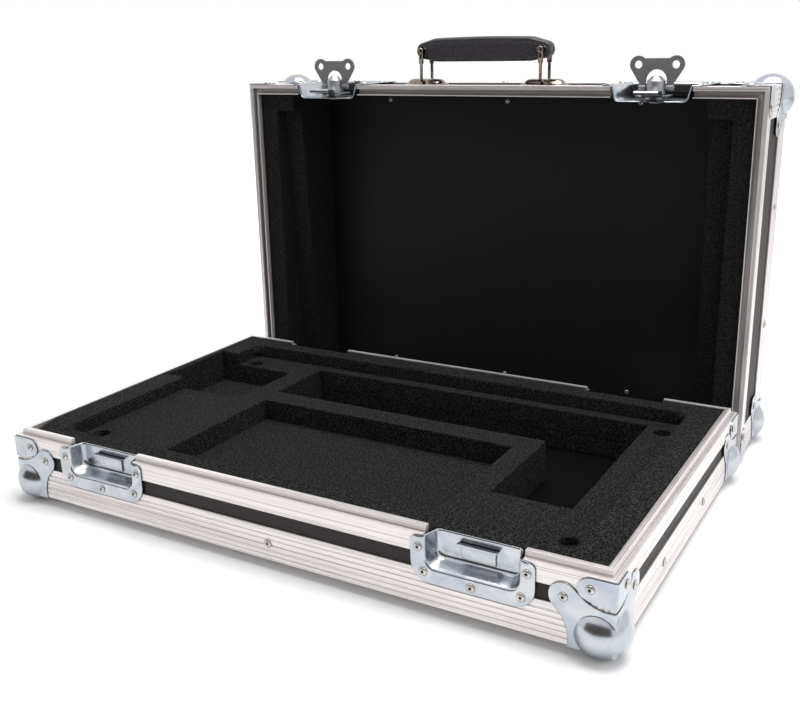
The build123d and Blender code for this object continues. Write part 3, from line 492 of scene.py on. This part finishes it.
# %% Rivet heads
# Near-black steel for the floor of each hole: partly the mandrel, partly painted shade.
mandrel_and_hole_shade_finish, mandrel_tree, mandrel_shader = start_material("snapped_mandrel_and_painted_hole_shade")
rust = add(mandrel_tree, "ShaderNodeTexNoise", {"Scale": 1 / (1.5 * MM), "Detail": 3.0})
mandrel_and_hole_shade_tone = add(mandrel_tree, "ShaderNodeMix",
                   {0: rust.outputs["Fac"], 6: linear("0C0B0B"), 7: linear("2E2A28")}, data_type="RGBA")
fill(mandrel_tree, mandrel_shader, {"Base Color": mandrel_and_hole_shade_tone.outputs[2], "Roughness": 0.6,
                                    "Metallic": 0.5})

# Distance from the axis and height, both as shares of the head's radius
HEAD_PROFILE = [(0.88, 0.0), (1.0, 0.06), (0.97, 0.15), (0.8, 0.29), (0.6, 0.38), (0.42, 0.41),
                (0.35, 0.38), (0.31, 0.28), (0.30, 0.1)]
HEAD_SIDES = 20


def islands(mesh):
    """Lists of vertex places, one for each loose piece of a mesh."""
    parent = list(range(len(mesh.vertices)))

    def root(index):
        while parent[index] != index:
            parent[index] = parent[parent[index]]
            index = parent[index]
        return index

    seen_at = {}
    for vertex in mesh.vertices:
        key = tuple(round(value, 6) for value in vertex.co)
        if key in seen_at:
            parent[root(vertex.index)] = root(seen_at[key])
        seen_at[key] = vertex.index
    for edge in mesh.edges:
        a, b = edge.vertices
        parent[root(a)] = root(b)
    groups = {}
    for vertex in mesh.vertices:
        groups.setdefault(root(vertex.index), []).append(vertex.co.copy())
    return list(groups.values())


def foot_of_head(points):
    """Middle of a head's foot, the way it faces and its radius: its foot is its widest end."""
    low = Vector([min(p[i] for p in points) for i in range(3)])
    high = Vector([max(p[i] for p in points) for i in range(3)])
    size = high - low
    axis = min(range(3), key=lambda i: size[i])
    middle = (low + high) / 2
    at_low = [(p - middle).length for p in points if p[axis] < middle[axis]]
    at_high = [(p - middle).length for p in points if p[axis] > middle[axis]]
    way = Vector((0, 0, 0))
    way[axis] = 1 if max(at_low) > max(at_high) else -1
    return middle - way * size[axis] / 2, way, max(size) / 2


def turn_head(points, faces, profile, foot, way, size):
    """Adds a turned shape to a mesh's lists, and returns the number of the face in its hole."""
    aim = way.to_track_quat("Z", "Y").to_matrix()
    first = len(points)
    for radius, height in profile:
        for side in range(HEAD_SIDES):
            angle = 2 * pi * side / HEAD_SIDES
            spot = Vector((radius * cos(angle), radius * sin(angle), height))
            points.append(foot + aim @ spot * size)
    join_rings(faces, first, len(profile), HEAD_SIDES)
    faces.append(tuple(range(len(points) - HEAD_SIDES, len(points))))
    return len(faces) - 1


def turned_heads(name, profile, feet):
    """A mesh of turned heads, one for each foot, facing and size. The holes take the second finish."""
    points = []
    faces = []
    holes = [turn_head(points, faces, profile, *foot) for foot in feet]
    mesh = mesh_from(name, points, faces)
    for face in holes:
        mesh.polygons[face].material_index = 1
    return mesh


def rivet_heads(name, nodes, body):
    """Turned heads for every rivet of some CAD parts, in one mesh."""
    feet = [foot_of_head(island) for node in nodes for island in islands(cad_nodes[node].data)]
    mesh = turned_heads(name, HEAD_PROFILE, feet)
    new_piece(name, mesh, body, [rivet_finish, mandrel_and_hole_shade_finish], nodes)
    print(name, "heads:", len(feet))


rivet_heads("base_rivet_heads", ["base_corner_rivets", "keeper_rivets", "base_edge_rivets"], "base")
rivet_heads("lid_rivet_heads", ["lid_corner_rivets", "latch_rivets", "lid_edge_rivets"], "lid")

# %% [markdown]
# ## Pressed dishes
#
# Each latch and each keeper sits in a dish pressed from one 1.2 mm sheet, so its wall flows out of the
# flange and into the floor in soft bends that catch long highlights. A cube with a bevel would have
# even edges. Here U-shaped lines are laid side by side, each a little further in and deeper, and faces
# join them. Solidify then gives the sheet its thickness. The dishes are drawn with x along the wall,
# s away from the rim and d into the case, and each wall says which ways s and d run there.

# %% Sizes of the dishes
# In millimetres. A pair is the pan's length from the rim and how far the flange reaches beyond it.
SHEET = 1.2
FLANGE_HALF = 51.2
FLANGE_TOP = 1.2
FLANGE_CORNER = 17.0
FLANGE_TOP_CORNER = 5.0
PAN_HALF = 39.2
PAN_CORNER = 9.0
PAN_DEPTH = 14.0
KEEPER_SIZES = (27.2, 12.5)
LATCH_SIZES = (66.5, 17.0)
SMALLEST_CORNER = 0.6
BEND_START = 5.0
# Steps along each side of a U, round each of its corners and along half of its bottom
SIDE_STEPS = 8
CORNER_STEPS = 6
BOTTOM_STEPS = 12
# Distance in from the pan's mouth and depth, from the flange down the bend, the wall and the floor
PAN_PROFILE = [(-BEND_START, -1.2), (-2.6, -1.2), (-1.4, -1.2), (-0.6, -1.0), (0.0, -0.55), (0.5, 0.2),
               (0.95, 1.4), (1.6, 3.8), (2.3, 6.4), (3.0, 9.0), (3.5, 10.9), (4.2, 12.4), (5.4, 13.5),
               (7.2, PAN_DEPTH), (10.0, PAN_DEPTH)]
# The same for the flange's cut edge, which is a little rounded
FLANGE_EDGE = [(0.0, 0.45), (0.1, 0.15), (0.45, 0.0)]


def arc(x, s, radius, start, end, count):
    """Points on a circle's arc, its ends left out."""
    turns = [start + (end - start) * step / count for step in range(1, count)]
    return [(x + radius * cos(radians(t)), s + radius * sin(radians(t))) for t in turns]


def u_line(half, low, corner, top):
    """A U of points: down one side, round a corner, along the bottom, round and up again."""
    corner = max(corner, SMALLEST_CORNER)
    side = low - corner
    left = [(-half, top + (side - top) * step / SIDE_STEPS) for step in range(SIDE_STEPS + 1)]
    bend = arc(corner - half, side, corner, 180, 90, CORNER_STEPS)
    across = [((corner - half) * (1 - step / BOTTOM_STEPS), low) for step in range(BOTTOM_STEPS)]
    first = left + bend + across
    return first + [(0.0, low)] + [(-x, s) for x, s in reversed(first)]


def flange_line(low, inset):
    """The flange's outline with its rounded top corners, with as many points as the other lines."""
    ear = FLANGE_TOP_CORNER - inset
    half = FLANGE_HALF - inset
    upper = FLANGE_TOP + inset
    line = u_line(half, low - inset, FLANGE_CORNER - inset, upper)
    rounding = arc(ear - half, upper + ear, ear, 270, 180, 3)
    top = [(ear - half, upper)] + rounding + [(-half, upper + ear)]
    line[:len(top)] = top
    line[-len(top):] = [(-x, s) for x, s in reversed(top)]
    return line


# %% Skin a dish
def dish_frame(node, wall):
    """A CAD dish's middle on the case's face at the rim, and the ways that s and d run from there."""
    low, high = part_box(node)
    middle = (low.x + high.x) / 2
    skin = SHEET * MM
    if wall == "base_front":
        return Vector((middle, low.y + skin, high.z)), Vector((0, 0, -1)), Vector((0, 1, 0))
    if wall == "base_back":
        return Vector((middle, high.y - skin, high.z)), Vector((0, 0, -1)), Vector((0, -1, 0))
    if wall == "lid_front":
        return Vector((middle, low.y, high.z - skin)), Vector((0, 1, 0)), Vector((0, 0, -1))
    return Vector((middle, low.y, low.z + skin)), Vector((0, 1, 0)), Vector((0, 0, 1))


def pressed_dish(node, wall, sizes, body):
    """One dish in place of its CAD part."""
    origin, away, into = dish_frame(node, wall)
    length, margin = sizes
    lines = [(flange_line(length + margin, inset), drop - SHEET) for inset, drop in FLANGE_EDGE]
    for inset, depth in PAN_PROFILE:
        top = FLANGE_TOP * min(1.0, max(0.0, -inset / BEND_START))
        lines.append((u_line(PAN_HALF - inset, length - inset, PAN_CORNER - inset * 0.5, top), depth))
    points = []
    for line, depth in lines:
        points += [origin + (Vector((x, 0, 0)) + away * s + into * depth) * MM for x, s in line]
    count = len(lines[0][0])
    faces = []
    for row in range(len(lines) - 1):
        for step in range(count - 1):
            a = row * count + step
            faces.append((a, a + 1, a + 1 + count, a + count))
    inner = (len(lines) - 1) * count
    for step in range((count - 1) // 2):
        a = inner + step
        b = inner + count - 1 - step
        faces.append((a, a + 1, b - 1, b) if b - a > 2 else (a, a + 1, b))
    mesh = mesh_from(node + "_pressing", points, faces)
    piece = new_piece(node + "_pressing", mesh, body, [zinc_finish], [node])
    shape = bmesh.new()
    shape.from_mesh(mesh)
    bmesh.ops.recalc_face_normals(shape, faces=shape.faces)
    shape.faces.ensure_lookup_table()
    if shape.faces[0].normal.dot(into) > 0:
        bmesh.ops.reverse_faces(shape, faces=shape.faces)
    shape.to_mesh(mesh)
    shape.free()
    thick = piece.modifiers.new("sheet", "SOLIDIFY")
    thick.thickness = SHEET * MM
    thick.offset = -1.0
    flat = piece.modifiers.new("even_normals", "WEIGHTED_NORMAL")
    flat.keep_sharp = False


for end in ("front", "back"):
    for hand in ("left", "right"):
        pressed_dish(f"keeper_dish_{end}_{hand}", f"base_{end}", KEEPER_SIZES, "base")
        pressed_dish(f"latch_dish_{end}_{hand}", f"lid_{end}", LATCH_SIZES, "lid")
print("dishes: 8, each with", len(FLANGE_EDGE) + len(PAN_PROFILE), "lines")

# %% [markdown]
# ## Pressed ball corners
#
# A ball corner is one deep pressing: three petals lie flat on the case and swell into a ball that
# takes the knocks. The plates and ball are built as overlapping closed shapes, then voxel remeshed into
# a single skin, which fills the joints, and smoothed so that ball and plate meet in a small fillet.

# %% Ball corner parts
# In millimetres. The inset, the reach and the offset run from the case's corner.
BALL_RADIUS = 22.0
BALL_INSET = 13.0
CORNER_REACH = 36.0
PETAL_OFFSET = 38.5
PETAL_RADIUS = 11.5


def petal_outline():
    """One plate's outline on its face, with its corner at the origin and its petal on the diagonal."""
    lobe = arc(PETAL_OFFSET, PETAL_OFFSET, PETAL_RADIUS, -62, 152, 20)
    side = [(CORNER_REACH - 0.8, -SHEET), (CORNER_REACH - 1.4, 0.0), (CORNER_REACH - 1.6, 8.0),
            (CORNER_REACH, 15.0), (CORNER_REACH + 3.0, 21.5)]
    mirrored = [(b, a) for a, b in reversed(side)]
    return [(-SHEET, -SHEET)] + side + lobe + mirrored


def corner_skin():
    """One corner's mesh: the ball outside the case and three plates, drawn in millimetres."""
    shape = bmesh.new()
    bmesh.ops.create_uvsphere(shape, u_segments=64, v_segments=40, radius=BALL_RADIUS,
                              matrix=Matrix.Translation((BALL_INSET,) * 3))
    outline = petal_outline()
    turns = Matrix.Rotation(radians(120), 4, Vector((1, 1, 1)))
    spin = Matrix.Identity(4)
    for _ in range(3):
        inner = [shape.verts.new(spin @ Vector((a, 0.1, b))) for a, b in outline]
        outer = [shape.verts.new(spin @ Vector((a, -SHEET, b))) for a, b in outline]
        shape.faces.new(inner[::-1])
        shape.faces.new(outer)
        for here in range(len(outline)):
            after = (here + 1) % len(outline)
            shape.faces.new((inner[here], inner[after], outer[after], outer[here]))
        spin = turns @ spin
    bmesh.ops.recalc_face_normals(shape, faces=shape.faces)
    return shape


# %% Remesh the corners and place them
FILLET_PASSES = 5
FACES_KEPT = 0.22
# In millimetres. What lies deeper than INSIDE_CASE behind all three of the case's faces is cut away.
VOXEL = 0.5
INSIDE_CASE = 0.75


def hollow_corner():
    """The corner as one smoothed skin, with the case's own octant cut out of the ball."""
    blank = put_in_scene("corner_blank", mesh_of("corner_blank", corner_skin()))
    remesh = blank.modifiers.new("skin", "REMESH")
    remesh.mode = "VOXEL"
    remesh.voxel_size = VOXEL
    smooth = blank.modifiers.new("fillet", "SMOOTH")
    smooth.factor = 0.5
    smooth.iterations = FILLET_PASSES
    thin = blank.modifiers.new("fewer_faces", "DECIMATE")
    thin.ratio = FACES_KEPT
    bpy.context.view_layer.update()
    result = blank.evaluated_get(bpy.context.evaluated_depsgraph_get())
    skin = bpy.data.meshes.new_from_object(result)
    bpy.data.objects.remove(blank)
    inside = bmesh.new()
    inside.from_mesh(skin)
    hidden = [v for v in inside.verts if min(v.co) > INSIDE_CASE]
    bmesh.ops.delete(inside, geom=hidden, context="VERTS")
    inside.to_mesh(skin)
    inside.free()
    return skin


def ball_corners(name, places, body, node):
    """Four corners in one mesh."""
    joined = bmesh.new()
    skin = hollow_corner()
    for place in places:
        start = len(joined.verts)
        joined.from_mesh(skin)
        joined.verts.ensure_lookup_table()
        bmesh.ops.transform(joined, matrix=place, verts=joined.verts[start:])
    mesh = mesh_of(name, joined)
    for polygon in mesh.polygons:
        polygon.use_smooth = True
    new_piece(name, mesh, body, [zinc_finish], [node])
    print(name, "faces:", len(mesh.polygons))


def corner_places(node, closed_face):
    """Matrices for the four corners of a half, from the box of its edge angles."""
    low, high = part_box(node)
    axis = 2 if closed_face == "down" else 1
    places = []
    for side in (-1, 1):
        for end in (-1, 1):
            signs = [side, end, 1] if axis == 2 else [side, 1, end]
            signs[axis] = -1 if closed_face == "down" else 1
            corner = Vector([low[i] if signs[i] < 0 else high[i] for i in range(3)])
            flip = Matrix.Diagonal([-sign * MM for sign in signs] + [1.0])
            places.append(Matrix.Translation(corner) @ flip)
    return places


for half, closed_face in (("base", "down"), ("lid", "back")):
    places = corner_places(f"{half}_edge_angles", closed_face)
    ball_corners(f"{half}_ball_pressings", places, half, f"{half}_ball_corners")

# %% [markdown]
# ## Cut foam
#
# Foam blocks are sawn and knife-cut, so their faces are a little wavy and their edges slightly rounded.
# The CAD blocks have the right pockets but perfect edges. Each is copied, its sharp edges are bevelled,
# a grid is cut into it so that it has points to move, and slow noise pushes them by a fraction of a
# millimetre. The noise is seeded, so that each run gives the same waves. In the photograph the surround
# stands nearly level with the rim's tongue at the sides and back, higher than in the CAD, so its top is
# raised there. The round holes look wider in the photograph than in the CAD, so their mouths are opened
# a little. Where the left pocket opens onto the case's wall, a thin strip of foam lines that wall. Cloth
# simulation isn't needed, because this foam is stiff and nothing presses on it.

# %% Foam pieces
FOAM_GRID = 14.0 * MM
FOAM_EDGE = 0.9 * MM
FOAM_WAVE = 0.45 * MM
LONG_WAVE = 45 * MM
SHORT_WAVE = 12 * MM
SHORT_SHARE = 0.4
CALM_EDGE = 3 * MM
SURROUND_RAISED = 4.5 * MM
RISE_START = 10 * MM
RISE_LENGTH = 15 * MM
HOLE_WIDER = 1.8 * MM
NEARLY = 1.1
NOISE_SEED = 1
noise.seed_set(NOISE_SEED)
HOLES = [mount for mount in frame["record"]["mounts"] if mount["name"].startswith("foam_hole")]
print("holes in the foam:", len(HOLES))


def cut_foam(node, body, finish, raised=0.0):
    """A softer copy of a foam block."""
    shape = bmesh.new()
    shape.from_mesh(cad_nodes[node].data)
    bmesh.ops.remove_doubles(shape, verts=shape.verts, dist=0.001 * MM)
    bmesh.ops.dissolve_limit(shape, angle_limit=radians(1), verts=shape.verts, edges=shape.edges)
    low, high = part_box(node)
    for vertex in shape.verts:
        for hole in HOLES:
            out = vertex.co - Vector(hole["pos_m"])
            out.z = 0
            if out.length < hole["dims"]["r_mm"] * MM * NEARLY and vertex.co.z > high.z - FOAM_EDGE:
                vertex.co += out.normalized() * HOLE_WIDER
    sharp = [e for e in shape.edges if len(e.link_faces) == 2 and e.calc_face_angle() > radians(40)]
    bmesh.ops.bevel(shape, geom=sharp, offset=FOAM_EDGE, segments=2, affect="EDGES", clamp_overlap=True)
    for axis in range(3):
        way = Vector((0, 0, 0))
        way[axis] = 1
        place = low[axis] + FOAM_GRID / 2
        while place < high[axis]:
            everything = list(shape.verts) + list(shape.edges) + list(shape.faces)
            bmesh.ops.bisect_plane(shape, geom=everything, plane_co=way * place, plane_no=way)
            place += FOAM_GRID
    for vertex in shape.verts:
        inward = vertex.co.y - low.y - RISE_START
        if vertex.co.z > high.z - FOAM_EDGE * NEARLY:
            vertex.co.z += raised * min(1.0, max(0.0, inward / RISE_LENGTH))
    high.z += raised
    soften(shape, low, high)
    mesh = mesh_of(node + "_cut", shape)
    piece = new_piece(node + "_cut", mesh, body, [finish], [node])
    print(piece.name, "faces:", len(mesh.polygons))


def soften(shape, low, high):
    """Slow waves over a block's faces, none of them out of its box."""
    for vertex in shape.verts:
        ripple = SHORT_SHARE * noise.noise_vector(vertex.co / SHORT_WAVE)
        push = (noise.noise_vector(vertex.co / LONG_WAVE) + ripple) * FOAM_WAVE
        for axis in range(3):
            nearest = min(vertex.co[axis] - low[axis], high[axis] - vertex.co[axis])
            push[axis] *= min(1.0, max(0.0, nearest / CALM_EDGE))
        vertex.co += push


cut_foam("base_foam_pad", "base", foam_finish)
cut_foam("base_foam_insert", "base", foam_finish)
cut_foam("base_foam_surround", "base", foam_finish, SURROUND_RAISED)
for node in ("lid_foam_left", "lid_foam_right"):
    cut_foam(node, "lid", shaded_lid_foam_finish)

# %% Foam liner of the left pocket
LINER = 6.0 * MM
CLEAR_OF_ENDS = 30 * MM


def foam_liner():
    """A strip against the left wall, where the surround is cut through."""
    low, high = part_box("base_foam_surround")
    points = [vertex.co for vertex in cad_nodes["base_foam_surround"].data.vertices]
    wall = [point.y for point in points if point.x < low.x + 0.1 * MM]
    inner = [y for y in wall if low.y + CLEAR_OF_ENDS < y < high.y - CLEAR_OF_ENDS]
    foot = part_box("base_foam_pad")[1].z
    start = Vector((low.x, min(inner), foot))
    size = Vector((LINER, max(inner) - min(inner), high.z + SURROUND_RAISED - foot))
    place = Matrix.Translation(start + size / 2) @ Matrix.Diagonal((*size, 1))
    shape = bmesh.new()
    bmesh.ops.create_cube(shape, size=1.0, matrix=place)
    bmesh.ops.subdivide_edges(shape, edges=shape.edges, cuts=5, use_grid_fill=True)
    sharp = [edge for edge in shape.edges if edge.calc_face_angle() > 1]
    bmesh.ops.bevel(shape, geom=sharp, offset=FOAM_EDGE, segments=2, affect="EDGES")
    soften(shape, start, start + size)
    mesh = mesh_of("pocket_liner", shape)
    piece = new_piece("pocket_liner", mesh, "base", [foam_finish])
    print("liner:", round(size.y / MM), "mm long,", round(size.z / MM), "mm tall")


foam_liner()

# %% [markdown]
# ## Handle
#
# The handle is a moulded grip that hangs between two wire bails, whose toes turn in domed cups. The
# grip is thickest in the middle and its ends are bevelled down to round hubs, so it is skinned through
# sections along its length and rounded by a subdivision surface. The wires are curves with a round
# bevel, and the cups are rings that shrink as they rise. A bright ring shows in the photograph where
# each wire meets the grip, and is taken for the head of a tubular pin.

# %% Grip
WIRE = 1.5 * MM
hub_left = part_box("handle_bail_left")
hub_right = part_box("handle_bail_right")
grip_low, grip_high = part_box("handle_grip")
grip_middle = (grip_low + grip_high) / 2
hub_height = hub_left[1].z - WIRE
left_x = (hub_left[0].x + hub_left[1].x) / 2
right_x = (hub_right[0].x + hub_right[1].x) / 2
print("hubs:", round((right_x - left_x) / MM, 1), "mm apart")
print("grip:", round((grip_high.x - grip_low.x) / MM), "mm long")

# Distance from the middle, half the thickness, bottom and top, from the hub's axis, in millimetres
GRIP_STATIONS = [(79.4, 6.6, -1.8, 1.8), (79.1, 7.7, -4.0, 4.0), (77.9, 8.5, -6.2, 6.3),
                 (75.4, 8.9, -8.1, 8.4), (71.5, 9.1, -9.1, 9.5), (66.0, 9.5, -9.8, 10.9),
                 (60.0, 10.1, -10.9, 12.6), (57.5, 10.6, -11.5, 13.3), (56.0, 10.7, -11.8, 13.5),
                 (30.0, 10.7, -11.8, 14.1), (0.0, 10.7, -11.8, 14.6)]


def grip_section(half, bottom, top):
    """A rounded box with a moulding seam pinched in below its top edge."""
    seam = top - 4.2
    near = [(-half * 0.55, bottom), (-half * 0.92, bottom + 1.2), (-half, bottom + 4.0),
            (-half, seam - 1.2), (-half * 0.88, seam - 0.1), (-half * 0.99, seam + 0.9),
            (-half * 0.86, top - 0.9), (-half * 0.5, top)]
    return near + [(-y, z) for y, z in reversed(near)]


def moulded_grip():
    """The grip between its hubs, in place of the CAD grip."""
    far_end = [(-x, half, bottom, top) for x, half, bottom, top in reversed(GRIP_STATIONS[:-1])]
    stations = GRIP_STATIONS + far_end
    points = []
    for x, half, bottom, top in stations:
        for y, z in grip_section(half, bottom, top):
            points.append(Vector((grip_middle.x - x * MM, grip_middle.y + y * MM, hub_height + z * MM)))
    around = len(grip_section(1, 0, 10))
    faces = [tuple(range(around)), tuple(reversed(range(len(points) - around, len(points))))]
    join_rings(faces, 0, len(stations), around, inside_out=True)
    mesh = mesh_from("moulded_grip", points, faces)
    piece = new_piece("moulded_grip", mesh, "grip", [grip_finish], ["handle_grip"])
    rounder = piece.modifiers.new("rounded", "SUBSURF")
    rounder.levels = 2
    rounder.render_levels = 2
    print("grip sections:", len(stations))


moulded_grip()

# %% Wire bails
SLEEVE = 13.0 * MM
SLEEVE_GIRTH = 1.8
WIRE_GIRTH = 1.1
CHEEK = 4 * MM
TOE = 6.5 * MM
BEND = 3.0 * MM


def wire_bail(node, x):
    """A loop of wire: toes turned in at the bottom, and its crossbar through the grip."""
    low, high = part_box(node)
    foot = low.z + WIRE
    top = high.z - WIRE
    middle = (low.y + high.y) / 2
    half = (high.y - low.y) / 2 - WIRE
    corners = [(middle - TOE, foot), (middle - half, foot), (middle - half, top), (middle + half, top),
               (middle + half, foot), (middle + TOE, foot)]
    path = [Vector((x, *corners[0]))]
    for before, corner, after in zip(corners, corners[1:], corners[2:]):
        spot = Vector((x, *corner))
        back = (Vector((x, *before)) - spot).normalized() * BEND
        on = (Vector((x, *after)) - spot).normalized() * BEND
        bend = [spot + back * (1 - step / 4) ** 2 + on * (step / 4) ** 2 for step in range(5)]
        collar = [Vector((x, corner[0], top - SLEEVE - drop)) for drop in (0.0, 1.0 * MM)]
        if corner == corners[2]:
            path += collar[::-1]
        path += bend
        if corner == corners[3]:
            path += collar
    path.append(Vector((x, *corners[-1])))
    curve = bpy.data.curves.new(node + "_wire", "CURVE")
    curve.dimensions = "3D"
    curve.bevel_depth = WIRE
    curve.bevel_resolution = 5
    curve.use_fill_caps = True
    line = curve.splines.new("POLY")
    line.points.add(len(path) - 1)
    for point, spot in zip(line.points, path):
        point.co = (*spot, 1.0)
        in_grip = abs(spot.y - middle) < half - CHEEK
        in_sleeve = spot.z > top - SLEEVE - 0.1 * MM and not in_grip
        point.radius = SLEEVE_GIRTH if in_sleeve else WIRE_GIRTH
    body = node.replace("handle_", "")
    new_piece(node + "_wire", curve, body, [nickel_finish], [node])


wire_bail("handle_bail_left", left_x)
wire_bail("handle_bail_right", right_x)
print("bails:", round((hub_left[1].z - hub_left[0].z) / MM, 1), "mm tall")

# %% Pin heads
# Radius and height above the wire's axis, in millimetres: a barrel from the grip's cheek, then a lip
PIN_PROFILE = [(2.8, -2.4), (3.2, -2.1), (3.2, 2.2), (3.7, 2.5), (3.7, 3.0), (3.1, 3.5), (2.2, 3.7),
               (1.6, 3.5), (1.4, 2.9)]


def pin_heads(hand, x):
    """Heads at both ends of the tubular pin that joins a bail to the grip."""
    low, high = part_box(f"handle_bail_{hand}")
    middle = (low.y + high.y) / 2
    feet = []
    for way in (-1, 1):
        spot = Vector((x, middle + way * (high.y - middle - WIRE), hub_height))
        feet.append((spot, Vector((0, way, 0)), MM))
    mesh = turned_heads(f"pin_heads_{hand}", PIN_PROFILE, feet)
    # The hole in each pin head takes the same near-black finish: painted shade inside the tube.
    new_piece(mesh.name, mesh, f"bail_{hand}", [nickel_finish, mandrel_and_hole_shade_finish])
    print("pin heads:", round((high.y - low.y - 2 * WIRE) / MM, 1), "mm apart")


pin_heads("left", left_x)
pin_heads("right", right_x)

# %% Cups
# Share of the cup's height, and how far its outline has shrunk, in millimetres
CUP_RINGS = [(0.0, 0.0), (0.05, 0.0), (0.15, 0.3), (0.19, 1.4), (0.25, 2.8), (0.36, 3.8), (0.55, 4.8),
             (0.75, 6.2), (0.9, 8.2), (0.97, 10.2), (1.0, 12.0)]
CUP_HALF_LENGTH = 27.0
CUP_HALF_WIDTH = 13.0
CUP_TALL = 7.0
CUP_STEPS = 16


def stadium(half_length, half_width, count):
    """A slot's outline: two half circles and their straight sides."""
    flat = half_length - half_width
    return arc(flat, 0, half_width, -90, 90, count) + arc(-flat, 0, half_width, 90, 270, count)


def domed_cups():
    """Both cups on the lid's front wall, in place of the CAD cups."""
    cup_low, cup_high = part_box("handle_cups")
    foot = cup_high.z - CUP_TALL * MM
    middle_y = (cup_low.y + cup_high.y) / 2
    points = []
    faces = []
    for x in (left_x, right_x):
        start = len(points)
        for height, shrink in CUP_RINGS:
            ring = stadium(CUP_HALF_LENGTH - shrink, CUP_HALF_WIDTH - shrink, CUP_STEPS)
            level = foot + height * CUP_TALL * MM
            points += [Vector((x + a * MM, middle_y + b * MM, level)) for a, b in ring]
        around = len(ring)
        join_rings(faces, start, len(CUP_RINGS), around)
        last = start + (len(CUP_RINGS) - 1) * around
        faces.append(tuple(range(last, last + around)))
    mesh = mesh_from("domed_cups", points, faces)
    new_piece("domed_cups", mesh, "lid", [nickel_finish], ["handle_cups"])
    print("cup faces:", len(faces))


domed_cups()

# %% [markdown]
# ## Floor, light and background
#
# The case stands on a sheet of white paper in a plain studio. The floor keeps the soft shadow under
# the case, and its glow for camera rays grows with distance, so that it ends in the same white as the
# world behind it. Metal mirrors what stands in front of it. In the photograph that seems to be a dim
# room, which gives the plated parts their dark bands, so a grey screen stands there, seen only in
# reflections.

# %% Floor
# In metres from the middle of the floor
FLOOR_REACH = 4.0
GLOW_STARTS = 0.45
GLOW_FULL = 1.1


def studio_sheet(name, points, faces, finish_name, tone, roughness):
    """A matt sheet that belongs to the studio, and its shader to go on with."""
    mesh = bpy.data.meshes.new(name)
    mesh.from_pydata(points, [], faces)
    sheet = put_in_scene(name, mesh)
    finish, tree, shader = start_material(finish_name)
    fill(tree, shader, {"Base Color": linear(tone), "Roughness": roughness, "Specular IOR Level": 0.0})
    mesh.materials.append(finish)
    return sheet, tree, shader


floor_corners = [(x * FLOOR_REACH, y * FLOOR_REACH, 0) for x, y in ((-1, -1), (1, -1), (1, 1), (-1, 1))]
floor, floor_tree, floor_shader = studio_sheet("studio_floor", floor_corners, [(0, 1, 2, 3)],
                                               "studio_paper", "F4F4F4", 0.9)
seen = add(floor_tree, "ShaderNodeLightPath")
spot_on_floor = add(floor_tree, "ShaderNodeTexCoord").outputs["Object"]
from_middle = add(floor_tree, "ShaderNodeVectorMath", {0: spot_on_floor}, operation="LENGTH")
fade = add(floor_tree, "ShaderNodeMapRange",
           {"Value": from_middle.outputs["Value"], "From Min": GLOW_STARTS, "From Max": GLOW_FULL,
            "To Min": 0.06, "To Max": 1.0})
glow = add(floor_tree, "ShaderNodeMath", {0: seen.outputs["Is Camera Ray"], 1: fade.outputs[0]},
           operation="MULTIPLY")
fill(floor_tree, floor_shader, {"Emission Color": (1, 1, 1, 1), "Emission Strength": glow.outputs[0]})
print("floor:", 2 * FLOOR_REACH, "m")

# %% Grey screen
# Distance in front of the case and height, along the floor and then up, in metres
SCREEN = [(-0.75, 0.002), (-2.6, 0.002), (-2.6, 1.9)]
SCREEN_REACH = 3.2
screen_corners = [(x, y, z) for y, z in SCREEN for x in (-SCREEN_REACH, SCREEN_REACH)]
screen = studio_sheet("grey_screen", screen_corners, [(0, 1, 3, 2), (2, 3, 5, 4)],
                      "grey_felt", "58524E", 1.0)[0]
screen.visible_camera = False
screen.visible_diffuse = False
screen.visible_shadow = False
print("screen:", screen.name)

# %% World and lamps
world = bpy.data.worlds.new("studio")
bpy.context.scene.world = world
world.use_nodes = True
world.node_tree.nodes.clear()
sight = add(world.node_tree, "ShaderNodeLightPath")
either = add(world.node_tree, "ShaderNodeMath",
             {0: sight.outputs["Is Camera Ray"], 1: sight.outputs["Is Glossy Ray"]},
             operation="MAXIMUM")
WORLD_LIGHT = 0.45
strength = add(world.node_tree, "ShaderNodeMapRange",
               {"Value": either.outputs[0], "To Min": WORLD_LIGHT, "To Max": 1.0})
backdrop = add(world.node_tree, "ShaderNodeBackground",
               {"Color": (1, 1, 1, 1), "Strength": strength.outputs["Result"]})
add(world.node_tree, "ShaderNodeOutputWorld", {"Surface": backdrop.outputs[0]})


def softbox(name, place, target, size, watts):
    """A square lamp that faces a point."""
    data = bpy.data.lights.new(name, "AREA")
    data.size = size
    data.energy = watts
    lamp = put_in_scene(name, data)
    lamp.location = place
    lamp.rotation_euler = (Vector(target) - Vector(place)).to_track_quat("-Z", "Y").to_euler()
    return lamp


softbox("overhead_softbox", (0.3, 0.1, 2.0), (0, 0, 0.1), 1.4, 40)
front_light = softbox("front_softbox", (-0.9, -2.3, 2.0), (0, 0, 0.15), 1.2, 5)
front_light.visible_glossy = False
right_light = softbox("right_softbox", (2.4, 0.3, 1.1), (0, 0, 0.15), 1.6, 22)
right_light.visible_glossy = False
print("world light:", WORLD_LIGHT)

# %% [markdown]
# ## Last settings
#
# The view layer is brought up to date, and colours are shown through the Standard view transform.

# %% Bring the scene up to date and set the view transform
bpy.context.view_layer.update()
bpy.context.scene.view_settings.view_transform = "Standard"
